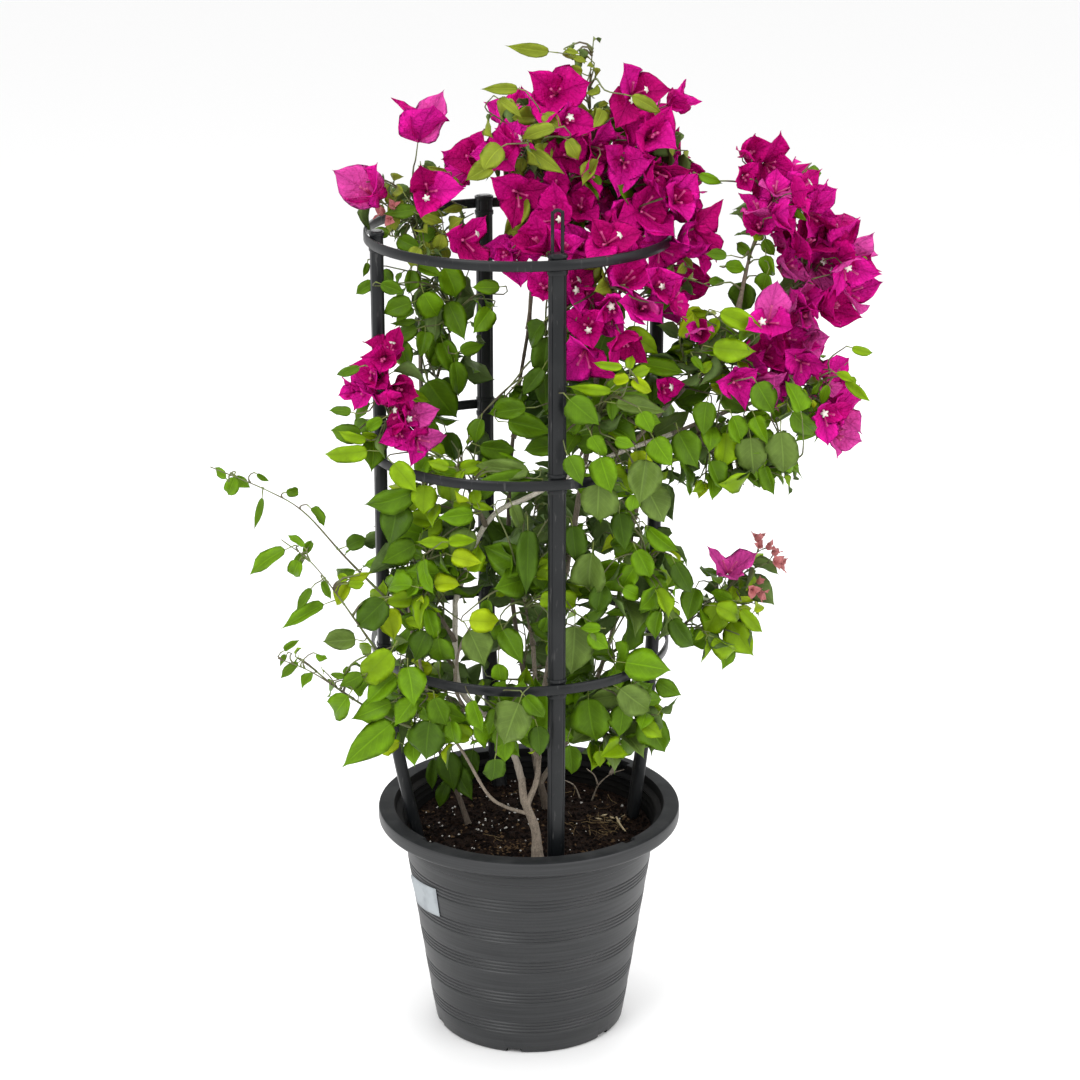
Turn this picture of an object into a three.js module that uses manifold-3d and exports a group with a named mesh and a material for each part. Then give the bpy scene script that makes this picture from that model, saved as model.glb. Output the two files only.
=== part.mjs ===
// A bougainvillea in a round ribbed nursery pot, trained up a hoop cage that stands in the soil.
// Millimetres, +Z up. The origin is the middle of the pot's flat underside, and -Y is the front.
// Canes rise from the soil, and each mass of foliage grows from its cane by a seeded rule.

import * as THREE from "three";
import { mergeVertices } from "three/addons/utils/BufferGeometryUtils.js";
import Module from "manifold-3d";

const wasm = await Module();
wasm.setup();

// Driving dimensions
const CLEAR = 0.35; // between two pieces that touch in the real plant
const ROOTED = 2; // how deep a limb starts in the end of the one that carries it, before it is cut clear

const POT = {
  height: 232,
  rim: 150, // outer radius of the rolled rim
  mouth: 133.5, // inner radius at the rim
  lip: 14, // how far the rim hangs down
  shoulder: 126, // outer radius of the wall under the rim
  shoulderHeight: 206,
  base: 95, // outer radius of the underside
  wall: 2.2,
  floor: 5,
  sides: 36,
};
const DRAIN = { count: 6, width: 15, depth: 9, height: 4, first: 0.35 }; // first is its share of a step
const RIM_SLOT = { count: 4, width: 13, depth: 6, height: 5 };
const SOIL = { top: 202 };

const CAGE = {
  x: -8.6, // the hoops stand a little left of the pot's middle
  turn: THREE.MathUtils.degToRad(15),
  poleRadius: 136,
  poleTop: 818,
  poleAcross: 8.2, // half of a pole's width along the hoop
  poleDeep: 6, // half of its width towards the middle
  poleSides: 8,
  bend: 400, // below this the legs lean in to fit the pot
  foot: 150,
  footIn: 36, // how far the feet stand in from the poles above
  footShift: 8.6, // how far the feet stand back towards the pot's middle
  footPower: 1.45,
  hoopTops: [409, 609, 813],
  hoopHeight: 9.5,
  hoopInner: 142.6,
  hoopOuter: 145.4,
  hoopSides: 32,
};
const LUG = { width: 12, height: 3 };
const PRONG = { height: 46, thick: 2.4, spread: 4.6 };

const POLES = { front: -90, right: 0, back: 90, left: 180 };

// Canes and boughs. on is the limb each grows from, at is how far along it, foot is where one stands
// in the soil, and via is the rest of its route.
const LIMBS = {
  trunk: {
    foot: [9, -78],
    via: [[6, -75, 235], [-4, -71, 262], [-7, -68, 285]],
    radius: [6, 4.2],
    flare: 2.5,
  },
  rear_trunk: { foot: [19, 45], via: [[13, 42, 224], [7, 38, 254]], radius: [4.6, 3.6], flare: 1.8 },
  left_stem: {
    foot: [-61, 8],
    via: [[-69, 8, 228], [-81, 10, 260], [-99, 14, 310], [-112, 16, 375], [-114, 18, 427]],
    radius: [3, 2.2],
    flare: 1.2,
  },
  side_branch: {
    on: "trunk",
    at: 0.56,
    via: [[-23, -80, 260], [-40, -85, 276], [-61, -88, 317], [-75, -90, 339], [-92, -91, 362]],
    radius: [2.5, 1.7],
  },
  left_cane: {
    on: "trunk",
    at: 1,
    via: [[-16, -66, 312], [-37, -60, 342], [-61, -55, 364], [-70, -55, 392], [-70, -55, 463]],
    radius: [3.4, 2.5],
  },
  right_bough: {
    on: "left_cane",
    at: 1,
    via: [[-51, -60, 520], [-30, -61, 553], [3, -62, 570], [73, -55, 605], [136, -45, 626]],
    radius: [2.6, 2],
  },
  front_cane: {
    on: "trunk",
    at: 0.66,
    via: [[9, -66, 290], [8, -50, 350], [4, -38, 415]],
    radius: [2.8, 2],
  },
  centre_cane: {
    on: "rear_trunk",
    at: 1,
    via: [[16, 25, 340], [31, 15, 438], [45, 10, 522], [59, 5, 615], [68, 0, 703]],
    radius: [3.5, 2.4],
  },
  crown_cane: {
    on: "centre_cane",
    at: 1,
    via: [[68, -3, 750], [67, -6, 800], [64, -10, 850]],
    radius: [2.4, 1.9],
  },
  right_cane: {
    on: "rear_trunk",
    at: 0.6,
    via: [[51, 22, 310], [70, 0, 371], [83, -20, 425], [87, -25, 455], [95, -30, 492], [101, -35, 540]],
    radius: [2.6, 1.8],
  },
  back_cane: {
    on: "rear_trunk",
    at: 0.5,
    via: [[4, 58, 262], [-4, 64, 330], [-17, 76, 420], [-20, 80, 520], [-12, 76, 620], [0, 70, 700]],
    radius: [2.6, 1.7],
  },
  upper_left_cane: {
    on: "left_stem",
    at: 1,
    via: [[-104, 20, 519], [-99, 20, 590], [-103, 20, 655], [-103, 22, 738]],
    radius: [2.4, 1.9],
  },
  right_rise: {
    on: "right_bough",
    at: 0.84,
    via: [[128, -42, 650], [168, -38, 695], [196, -37, 745]],
    radius: [2, 1.8],
  },
  right_reach: { on: "right_rise", at: 0.66, via: [[205, -32, 725], [238, -22, 752]], radius: [1.8, 1.7] },
  right_droop: { on: "right_bough", at: 1, via: [[175, -42, 642], [216, -34, 655]], radius: [2, 1.8] },
};

// Masses of foliage. centre and size are the space each keeps to, twigs how many grow from its stem,
// leaf the length of a full leaf, blooms the stretch of the stem whose twigs end in blossom, and clusters
// the most blooms that a mass bears.
const MASSES = {
  low_left: {
    on: "left_cane", at: 0.42, via: [[-80, -78, 356], [-98, -88, 352]],
    centre: [-96, -76, 356], size: [62, 52, 62], twigs: 4, leaf: 69,
  },
  low_front: {
    on: "front_cane", at: 0.3, via: [[-8, -84, 338], [-18, -100, 352]],
    centre: [-14, -96, 352], size: [66, 44, 66], twigs: 4, leaf: 75,
  },
  low_right: {
    on: "right_cane", at: 0.3, via: [[78, -24, 338], [88, -52, 352]],
    centre: [84, -52, 362], size: [66, 62, 70], twigs: 4, leaf: 71,
  },
  low_back: {
    on: "back_cane", at: 0.22, via: [[-8, 86, 330], [18, 104, 340]],
    centre: [12, 92, 350], size: [92, 56, 70], twigs: 4, leaf: 69,
  },
  low_back_left: {
    on: "left_stem", at: 0.5, via: [[-108, 40, 316], [-96, 66, 336]],
    centre: [-100, 52, 356], size: [58, 60, 70], twigs: 3, leaf: 69,
  },
  mid_left: {
    on: "left_cane", at: 0.8, via: [[-90, -76, 466], [-98, -84, 500]],
    centre: [-88, -74, 492], size: [66, 62, 74], twigs: 5, leaf: 63,
  },
  mid_front: {
    on: "front_cane", at: 1, via: [[0, -70, 446], [-6, -92, 486]],
    centre: [-4, -82, 472], size: [62, 58, 76], twigs: 5, leaf: 69,
  },
  mid_right: {
    on: "right_cane", at: 0.72, via: [[108, -56, 478], [112, -72, 506]],
    centre: [92, -58, 478], size: [68, 62, 78], twigs: 5, leaf: 67,
  },
  mid_back: {
    on: "back_cane", at: 0.5, via: [[0, 98, 470], [26, 106, 500]],
    centre: [6, 92, 488], size: [96, 58, 76], twigs: 4, leaf: 69,
  },
  mid_back_left: {
    on: "left_stem", at: 0.86, via: [[-120, 34, 462], [-108, 56, 500]],
    centre: [-104, 46, 488], size: [58, 62, 70], twigs: 3, leaf: 67,
  },
  mid_core: {
    on: "centre_cane", at: 0.38, via: [[6, 4, 452], [-18, 2, 500]],
    centre: [-6, 6, 500], size: [70, 46, 84], twigs: 3, leaf: 75,
  },
  front_left: {
    on: "right_bough", at: 0.3, via: [[-52, -80, 574], [-66, -88, 602]],
    centre: [-58, -74, 590], size: [68, 60, 46], twigs: 4, leaf: 67,
  },
  front_right: {
    on: "right_bough", at: 0.56, via: [[50, -84, 618], [62, -96, 654]],
    centre: [58, -78, 618], size: [72, 60, 76], twigs: 5, leaf: 69,
  },
  upper_right: {
    on: "right_cane", at: 1, via: [[112, -14, 590], [112, 4, 640]],
    centre: [108, 6, 606], size: [58, 66, 80], twigs: 4, leaf: 69,
  },
  upper_core: {
    on: "centre_cane", at: 0.8, via: [[34, -10, 664], [16, -18, 714]],
    centre: [28, -10, 690], size: [62, 56, 92], twigs: 5, leaf: 71,
  },
  upper_back: {
    on: "back_cane", at: 0.76, via: [[12, 92, 640], [38, 96, 690]],
    centre: [14, 84, 656], size: [92, 60, 84], twigs: 4, leaf: 67,
  },
  upper_left: {
    on: "upper_left_cane", at: 0.62, via: [[-82, 8, 684], [-70, 2, 730]],
    centre: [-84, 12, 706], size: [52, 52, 92], twigs: 5, leaf: 61,
  },
  left_blossom: {
    on: "upper_left_cane", at: 0.42, via: [[-112, -34, 616], [-126, -66, 640], [-130, -78, 676]],
    centre: [-132, -72, 662], size: [52, 48, 58], twigs: 4, leaf: 61, blooms: [0.5, 1], clusters: 7,
  },
  crown_left: {
    on: "upper_left_cane", at: 1, via: [[-104, 16, 790], [-108, 4, 850]],
    centre: [-104, 0, 848], size: [86, 74, 84], twigs: 4, leaf: 57, blooms: [0.35, 1], clusters: 6,
  },
  crown_middle: {
    on: "crown_cane", at: 0.5, via: [[32, -8, 828], [8, -12, 874]],
    centre: [8, -8, 866], size: [62, 66, 92], twigs: 5, leaf: 57, blooms: [0.25, 1],
  },
  crown_top: {
    on: "crown_cane", at: 1, via: [[59, -12, 907], [56, -12, 940], [60, -10, 992]],
    centre: [62, -10, 930], size: [60, 60, 80], twigs: 5, leaf: 34, blooms: [0, 0.6], spread: 0.55,
  },
  crown_right: {
    on: "crown_cane", at: 0.72, via: [[96, -4, 850], [122, 0, 888]],
    centre: [108, -6, 864], size: [60, 66, 88], twigs: 4, leaf: 55, blooms: [0, 1],
  },
  crown_front: {
    on: "crown_cane", at: 0.3, via: [[64, -60, 768], [66, -98, 778]],
    centre: [64, -88, 778], size: [80, 58, 64], twigs: 5, leaf: 57, blooms: [0, 1],
  },
  crown_link: {
    on: "crown_cane", at: 0.1, via: [[108, -6, 752], [142, -14, 790]],
    centre: [136, -14, 784], size: [56, 54, 56], twigs: 3, leaf: 55, blooms: [0, 1],
  },
  crown_back: {
    on: "back_cane", at: 1, via: [[8, 78, 780], [30, 84, 850]],
    centre: [34, 84, 820], size: [100, 66, 104], twigs: 5, leaf: 61, blooms: [0.4, 1],
  },
  right_leaves: {
    on: "right_droop", at: 0.3, via: [[170, -50, 612], [226, -50, 594]],
    centre: [184, -46, 606], size: [82, 64, 52], twigs: 6, leaf: 67,
  },
  right_low_blossom: {
    on: "right_droop", at: 1, via: [[256, -26, 668], [282, -20, 650]],
    centre: [250, -24, 672], size: [68, 56, 58], twigs: 5, leaf: 55, blooms: [0.3, 1],
  },
  right_top_blossom: {
    on: "right_rise", at: 1, via: [[208, -24, 800], [228, -8, 846]],
    centre: [228, -8, 846], size: [78, 60, 52], twigs: 5, leaf: 49, blooms: [0.3, 1],
  },
  right_blossom: {
    on: "right_reach", at: 1, via: [[264, -10, 770], [288, 0, 786]],
    centre: [262, -8, 768], size: [68, 62, 54], twigs: 5, leaf: 49, blooms: [0.2, 1],
  },
  right_inner: {
    on: "right_rise", at: 0.4, via: [[158, -50, 682], [192, -62, 704]],
    centre: [178, -46, 706], size: [64, 60, 52], twigs: 6, leaf: 61, blooms: [0.6, 1], clusters: 4,
  },
  spray_left_high: {
    on: "left_cane", at: 0.66,
    via: [[-121, -85, 462], [-168, -105, 521], [-206, -115, 570], [-239, -120, 593], [-290, -127, 618]],
    centre: [-206, -116, 572], size: [96, 46, 86], twigs: 4, leaf: 36, spread: 0.3,
  },
  spray_left_mid: {
    on: "side_branch", at: 1,
    via: [[-122, -100, 395], [-150, -111, 445], [-195, -132, 522], [-226, -139, 552]],
    centre: [-178, -128, 492], size: [80, 48, 90], twigs: 4, leaf: 49, spread: 0.4,
  },
  spray_left_low: {
    on: "side_branch", at: 0.78,
    via: [[-110, -104, 352], [-154, -114, 378], [-201, -135, 420], [-232, -145, 438]],
    centre: [-182, -126, 396], size: [74, 46, 64], twigs: 4, leaf: 49, spread: 0.4,
  },
  spray_right: {
    on: "right_cane", at: 0.52,
    via: [[108, -30, 418], [135, -22, 417], [172, -14, 440], [204, -8, 468]],
    centre: [190, -12, 446], size: [66, 56, 62], twigs: 5, leaf: 57, blooms: [0.8, 1], clusters: 1,
    spread: 0.7,
  },
};

// The rule that every mass grows by
const GOLDEN = THREE.MathUtils.degToRad(137.5);
const TWIG = {
  root: 1.15, // radius
  tip: 1.05,
  firstAt: 0.2, // along the stem
  lastAt: 0.98,
  forward: 0.55, // how far it leans along the stem, and how far the last one does
  lastForward: 1.5,
  lift: 0.25,
  margin: 12, // from its tip to the edge of the ellipsoid
  shortest: 12,
  step: 6, // between the points that stand for it
  clear: 2.5, // of leaves
  tries: 6,
};
const STEM = { root: 2.2, tip: 1.6 };
const LEAF = {
  width: 0.4, // half of its width, and the rest but sunk, spacing and tries, by its length
  widest: 0.42,
  thick: 0.024,
  fold: 0.22, // how far its halves rise from the midrib
  sunk: 0.5,
  spacing: 27,
  forward: 0.5, // how far it leans along its twig
  droop: 0.4,
  outward: 0.75, // how far its face turns away from the plant's middle
  tries: 9,
  smallest: 0.75, // by the length of a full leaf, and how much more one may have by chance
  chance: 0.45,
};
const BLOOM = {
  radius: 29,
  notch: 0.6, // how far the rim comes in between two tips, and at which height
  notchHeight: 0.75,
  core: 0.55, // of its radius, that a leaf stays out of, and that must be clear of leaves
  room: 0.5,
  outer: 7, // corners of its shape that keep to the mass's space
  depth: 16,
  thick: 2.6,
  shares: [0.99, 0.62, 0.3], // along a flowering twig
  apart: 0.8, // between two hearts, by their radii
  heart: 0.7, // of its depth
  tries: 6,
};
const LAST_LEAF = 0.97; // along a twig
const LAST_BEFORE_BLOOM = 0.6;
const MOSTLY_BLOSSOM = 0.6; // masses that flower from before this share of the stem take its finish
const NEAR = 150; // how far round a mass's centre anything can be in its way
const MARGIN = 0.4; // from the plane between two spaces
const ABOVE_RIM = 4;
const ABOVE_SOIL = 6;
const SWELL = 0.2; // how far leaves may pass the ellipsoid that the twigs keep to
const BARRIER_STEP = 4; // between the points that stand for limbs, poles and hoops
const TWIG_CLEAR = 1.5; // from those points
const LEAF_CLEAR = 1.2;
const PLATE = 1.6; // how near one leaf may come to another's plate

const vector = (x, y, z) => new THREE.Vector3(x, y, z);
const fromArray = (a) => new THREE.Vector3(...a);

// A closed geometry as a solid, facing out.
function solid(geometry) {
  const bare = geometry.clone();
  bare.deleteAttribute("normal");
  bare.deleteAttribute("uv");
  const merged = mergeVertices(bare, 1e-4);
  const vertProperties = new Float32Array(merged.attributes.position.array);
  const triVerts = new Uint32Array(merged.index.array);
  let made = new wasm.Manifold(new wasm.Mesh({ numProp: 3, vertProperties, triVerts }));
  if (made.volume() < 0) {
    for (let i = 0; i < triVerts.length; i += 3) {
      [triVerts[i + 1], triVerts[i + 2]] = [triVerts[i + 2], triVerts[i + 1]];
    }
    made = new wasm.Manifold(new wasm.Mesh({ numProp: 3, vertProperties, triVerts }));
  }
  return made;
}

// The largest connected body of a solid, so a loose scrap or a sealed hollow is dropped.
function largest(shape) {
  return shape.decompose().reduce((a, b) => (a.volume() > b.volume() ? a : b));
}

function geometryOf(shape) {
  const mesh = shape.getMesh();
  const positions = new Float32Array(mesh.numVert * 3);
  for (let i = 0; i < mesh.numVert; i++) {
    for (let k = 0; k < 3; k++) positions[3 * i + k] = mesh.vertProperties[mesh.numProp * i + k];
  }
  const indexed = new THREE.BufferGeometry();
  indexed.setAttribute("position", new THREE.BufferAttribute(positions, 3));
  indexed.setIndex(new THREE.BufferAttribute(new Uint32Array(mesh.triVerts), 1));
  const flat = indexed.toNonIndexed();
  flat.computeVertexNormals();
  return flat;
}

function lathe(profile, sides) {
  const points = profile.map(([r, z]) => new THREE.Vector2(r, z));
  return new THREE.LatheGeometry(points, sides).rotateX(Math.PI / 2);
}

function box(width, depth, height, centre) {
  return new THREE.BoxGeometry(width, depth, height).translate(...centre);
}

// A closed tube along a curve, from a cylinder whose rings are moved on to it.
function tube(curve, radiusAt, sides, steps) {
  const frames = curve.computeFrenetFrames(steps, false);
  const geometry = new THREE.CylinderGeometry(1, 1, 1, sides, steps);
  const position = geometry.attributes.position;
  for (let i = 0; i < position.count; i++) {
    const along = position.getY(i) + 0.5;
    const ring = Math.round(along * steps);
    const radius = radiusAt(along);
    const place = curve.getPointAt(along);
    place.addScaledVector(frames.binormals[ring], position.getX(i) * radius);
    place.addScaledVector(frames.normals[ring], position.getZ(i) * radius);
    position.setXYZ(i, place.x, place.y, place.z);
  }
  return geometry;
}

// Pot, soil and cage

// Outer radius of the pot's wall at a height.
function wallRadius(z) {
  return POT.base + ((POT.shoulder - POT.base) * z) / POT.shoulderHeight;
}

function pot() {
  const inner = (z) => wallRadius(z) - POT.wall;
  const lipFoot = POT.height - POT.lip;
  const profile = [
    [0, 0],
    [POT.base - 3, 0],
    [POT.base, 3],
    [POT.shoulder, POT.shoulderHeight],
    [POT.rim - 3, lipFoot],
    [POT.rim - 0.8, lipFoot + 2],
    [POT.rim, POT.height - 3],
    [POT.rim - 3, POT.height],
    [POT.mouth + 1, POT.height],
    [POT.mouth, POT.height - 1.5],
    [inner(POT.shoulderHeight), POT.shoulderHeight],
    [inner(POT.floor), POT.floor],
    [0, POT.floor],
  ];
  let shape = solid(lathe(profile, POT.sides));
  for (let i = 0; i < DRAIN.count; i++) {
    const slot = box(DRAIN.depth, DRAIN.width, 2 * DRAIN.height, [POT.base - DRAIN.depth / 2 + 1, 0, 0]);
    shape = shape.subtract(solid(slot.rotateZ(((i + DRAIN.first) * 2 * Math.PI) / DRAIN.count)));
  }
  for (let i = 0; i < RIM_SLOT.count; i++) {
    const slot = box(RIM_SLOT.depth, RIM_SLOT.width, RIM_SLOT.height, [POT.mouth + 2, 0, POT.height]);
    shape = shape.subtract(solid(slot.rotateZ(((i + 0.5) * 2 * Math.PI) / RIM_SLOT.count)));
  }
  return shape;
}

function soil(poles) {
  const edge = (z) => wallRadius(z) - POT.wall - CLEAR;
  const profile = [
    [0, POT.floor + CLEAR],
    [edge(POT.floor) - 0.2, POT.floor + CLEAR],
    [edge(SOIL.top), SOIL.top],
    [0, SOIL.top],
  ];
  return poles.reduce((shape, pole) => shape.subtract(pole), solid(lathe(profile, POT.sides)));
}

// Middle of a pole at a height, and the direction it faces.
function poleAt(degrees, z) {
  const angle = THREE.MathUtils.degToRad(degrees) + CAGE.turn;
  const lean = Math.pow(Math.max(0, CAGE.bend - z) / (CAGE.bend - CAGE.foot), CAGE.footPower);
  const radius = CAGE.poleRadius - CAGE.footIn * lean;
  const out = vector(Math.cos(angle), Math.sin(angle), 0);
  return { out, middle: vector(CAGE.x + CAGE.footShift * lean, 0, z).addScaledVector(out, radius) };
}

function poleTube(degrees, grown) {
  const steps = 6;
  const geometry = new THREE.CylinderGeometry(1, 1, 1, CAGE.poleSides, steps);
  const position = geometry.attributes.position;
  for (let i = 0; i < position.count; i++) {
    const level = Math.round((position.getY(i) + 0.5) * steps);
    const bent = CAGE.foot - grown + ((CAGE.bend - CAGE.foot) * level) / (steps - 1);
    const z = level === steps ? CAGE.poleTop : bent;
    const { out, middle } = poleAt(degrees, z);
    const across = vector(-out.y, out.x, 0);
    middle.addScaledVector(across, position.getX(i) * (CAGE.poleAcross + grown));
    middle.addScaledVector(out, position.getZ(i) * (CAGE.poleDeep + grown));
    position.setXYZ(i, middle.x, middle.y, middle.z);
  }
  return solid(geometry);
}

// A pole with a lug under each hoop.
function pole(degrees) {
  const angle = THREE.MathUtils.degToRad(degrees) + CAGE.turn;
  const parts = [poleTube(degrees, 0)];
  for (const top of CAGE.hoopTops) {
    const z = top - CAGE.hoopHeight - CLEAR - LUG.height / 2;
    const depth = CAGE.hoopOuter - CAGE.poleRadius;
    const lug = box(depth, LUG.width, LUG.height, [CAGE.poleRadius + depth / 2, 0, z]);
    parts.push(solid(lug.rotateZ(angle).translate(CAGE.x, 0, 0)));
  }
  return wasm.Manifold.union(parts);
}

// The thin staple that stands on the front pole.
function prong() {
  const { middle } = poleAt(POLES.front, CAGE.poleTop);
  const { height, thick, spread } = PRONG;
  const posts = [-spread, spread].map((x) => box(thick, thick, height, [x, 0, height / 2 - 1]));
  const arch = box(2 * spread + thick, thick, thick, [0, 0, height - 1 - thick / 2]);
  const place = (part) => part.rotateZ(CAGE.turn).translate(middle.x, middle.y, CAGE.poleTop);
  return wasm.Manifold.union([...posts, arch].map((part) => solid(place(part))));
}

function hoop(top) {
  const profile = [
    [CAGE.hoopInner, top - CAGE.hoopHeight],
    [CAGE.hoopOuter, top - CAGE.hoopHeight],
    [CAGE.hoopOuter, top],
    [CAGE.hoopInner, top],
    [CAGE.hoopInner, top - CAGE.hoopHeight],
  ];
  return solid(lathe(profile, CAGE.hoopSides).rotateZ(CAGE.turn).translate(CAGE.x, 0, 0));
}

// Limbs and stems

const curves = {};

// The curve of a limb or of a mass's stem, from its foot or from the limb that carries it.
function curveOf(name) {
  if (curves[name]) return curves[name];
  const { on, at, foot, via } = LIMBS[name] ?? MASSES[name];
  const points = via.map(fromArray);
  if (foot) {
    points.unshift(vector(...foot, SOIL.top + CLEAR));
  } else {
    const parent = curveOf(on);
    const start = parent.getPointAt(at);
    if (at === 1) start.addScaledVector(parent.getTangentAt(1), -ROOTED);
    points.unshift(start);
  }
  curves[name] = new THREE.CatmullRomCurve3(points, false, "catmullrom", 0.5);
  return curves[name];
}

function limbRadius(name) {
  const { radius, flare = 0 } = LIMBS[name];
  return (along) => radius[0] + (radius[1] - radius[0]) * along + flare * Math.exp(-along * 9);
}

const stemRadius = (along) => STEM.root + (STEM.tip - STEM.root) * along;

function limbTube(name, grown) {
  const curve = curveOf(name);
  const radius = limbRadius(name);
  return solid(tube(curve, (along) => radius(along) + grown, 6, LIMBS[name].via.length + 2));
}

// A piece that starts in a limb, or in its end, cut back to lie just clear of it.
function seated(shape, { on, at }) {
  if (!on) return shape.trimByPlane([0, 0, 1], SOIL.top + CLEAR);
  if (at < 1) return largest(shape.subtract(limbTube(on, CLEAR)));
  const end = curveOf(on).getPointAt(1);
  const tangent = curveOf(on).getTangentAt(1);
  return largest(shape.trimByPlane(tangent.toArray(), end.dot(tangent) + CLEAR));
}

// Points that stand for everything foliage has to grow clear of.
function barriersFor(own) {
  const points = [];
  const addCurve = (curve, radiusAt) => {
    const count = Math.ceil(curve.getLength() / BARRIER_STEP);
    for (let i = 0; i <= count; i++) {
      points.push({ place: curve.getPointAt(i / count), radius: radiusAt(i / count) });
    }
  };
  for (const name of Object.keys(LIMBS)) addCurve(curveOf(name), limbRadius(name));
  for (const name of Object.keys(MASSES)) if (name !== own) addCurve(curveOf(name), stemRadius);
  for (const degrees of Object.values(POLES)) {
    for (let z = CAGE.foot; z <= CAGE.poleTop + BARRIER_STEP; z += BARRIER_STEP) {
      points.push({ place: poleAt(degrees, z).middle, radius: CAGE.poleAcross });
    }
  }
  const hoopRadius = (CAGE.hoopInner + CAGE.hoopOuter) / 2;
  const hoopPoints = Math.ceil((2 * Math.PI * hoopRadius) / BARRIER_STEP);
  for (const top of CAGE.hoopTops) {
    for (let i = 0; i < hoopPoints; i++) {
      const angle = (2 * Math.PI * i) / hoopPoints;
      const out = vector(Math.cos(angle), Math.sin(angle), 0);
      const place = vector(CAGE.x, 0, top - CAGE.hoopHeight / 2).addScaledVector(out, hoopRadius);
      points.push({ place, radius: CAGE.hoopHeight / 2 + 1 });
    }
  }
  return points;
}

// Whether a point lies in a mass's space: its ellipsoid, on its own side of each neighbour.
function inSpace(name, point, margin, swell) {
  const own = MASSES[name];
  const centre = fromArray(own.centre);
  const away = point.clone().sub(centre).divide(fromArray(own.size));
  if (away.length() > swell) return false;
  for (const [other, mass] of Object.entries(MASSES)) {
    if (other === name) continue;
    const between = fromArray(mass.centre).sub(centre);
    const distance = between.length();
    const edge = (distance ** 2 + meanSize(own) ** 2 - meanSize(mass) ** 2) / (2 * distance);
    if (point.clone().sub(centre).dot(between) / distance > edge - margin) return false;
  }
  return true;
}

function meanSize(mass) {
  return (mass.size[0] + mass.size[1] + mass.size[2]) / 3;
}

// Clear of the pot: above its rim, or inside it and above the soil.
function clearOfPot(point) {
  const radius = Math.hypot(point.x, point.y);
  const inside = radius < POT.mouth - POT.lip && point.z > SOIL.top + ABOVE_SOIL;
  return point.z > POT.height + ABOVE_RIM || inside;
}

// Park and Miller's random numbers, from 0 to 1.
function seeded(seed) {
  let state = seed;
  return () => {
    state = (state * 48271) % 2147483647;
    return state / 2147483647;
  };
}

// A direction at right angles to axis, turned about it.
function aside(axis, angle) {
  const reference = Math.abs(axis.z) < 0.9 ? vector(0, 0, 1) : vector(1, 0, 0);
  const first = axis.clone().cross(reference).normalize();
  const second = axis.clone().cross(first);
  return first.multiplyScalar(Math.cos(angle)).addScaledVector(second, Math.sin(angle));
}

// Half of a leaf's width at a distance from its foot.
function halfWidth(leaf, along) {
  const widest = LEAF.widest * leaf.length;
  const share = along < widest ? along / widest : (leaf.length - along) / (leaf.length - widest);
  return LEAF.width * leaf.length * Math.max(0, Math.min(1, share));
}

// A place on or near a leaf: along it from its foot, across it, and up from its folded plate.
function onLeaf({ foot, direction, side, normal }, along, across, up) {
  const place = foot.clone().addScaledVector(direction, along).addScaledVector(side, across);
  return place.addScaledVector(normal, up + Math.abs(across) * LEAF.fold);
}

// Whether a ball meets a leaf.
function leafMeets(leaf, place, radius) {
  const from = place.clone().sub(leaf.foot);
  const along = from.dot(leaf.direction);
  if (along < -radius || along > leaf.length + radius) return false;
  const across = Math.abs(from.dot(leaf.side));
  if (across > halfWidth(leaf, along) + radius) return false;
  return Math.abs(from.dot(leaf.normal) - across * LEAF.fold) < radius;
}

// Points spread over a leaf, which stand for it when another leaf is tried beside it.
function leafPoints(leaf) {
  const points = [];
  for (const share of [0.15, 0.3, 0.45, 0.65, 0.85, 1]) {
    const half = halfWidth(leaf, share * leaf.length);
    for (const part of [-0.9, 0, 0.9]) points.push(onLeaf(leaf, share * leaf.length, part * half, 0));
  }
  return points;
}

// A leaf's corners: foot, left, right, tip, and the middle of its upper face.
function leafCorners(leaf) {
  const half = LEAF.width * leaf.length;
  const widest = LEAF.widest * leaf.length;
  const thick = Math.max(LEAF.thick * leaf.length, 0.8);
  return [
    onLeaf(leaf, -LEAF.sunk, 0, 0),
    onLeaf(leaf, widest, -half, 0),
    onLeaf(leaf, widest, half, 0),
    onLeaf(leaf, leaf.length, 0, 0),
    onLeaf(leaf, widest, 0, thick),
  ];
}

// A bloom's corners: three bract tips and three notches round the rim, the cup's inside and its foot.
function bloomCorners({ foot, axis, radius, turn }) {
  const up = (height) => foot.clone().addScaledVector(axis, height);
  const rim = [];
  for (let i = 0; i < 6; i++) {
    const out = aside(axis, turn + (i * Math.PI) / 3);
    const tip = i % 2 === 0;
    const height = tip ? BLOOM.depth : BLOOM.depth * BLOOM.notchHeight;
    rim.push(up(height).addScaledVector(out, tip ? radius : radius * BLOOM.notch));
  }
  return [...rim, up(BLOOM.thick), up(-LEAF.sunk)];
}

// Whether a ball meets a bloom, which is taken as a short drum.
function bloomMeets({ foot, axis, radius }, place, ball) {
  const from = place.clone().sub(foot);
  const height = from.dot(axis);
  if (height < -ball || height > BLOOM.depth + ball) return false;
  return from.addScaledVector(axis, -height).length() < radius + ball;
}

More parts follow.
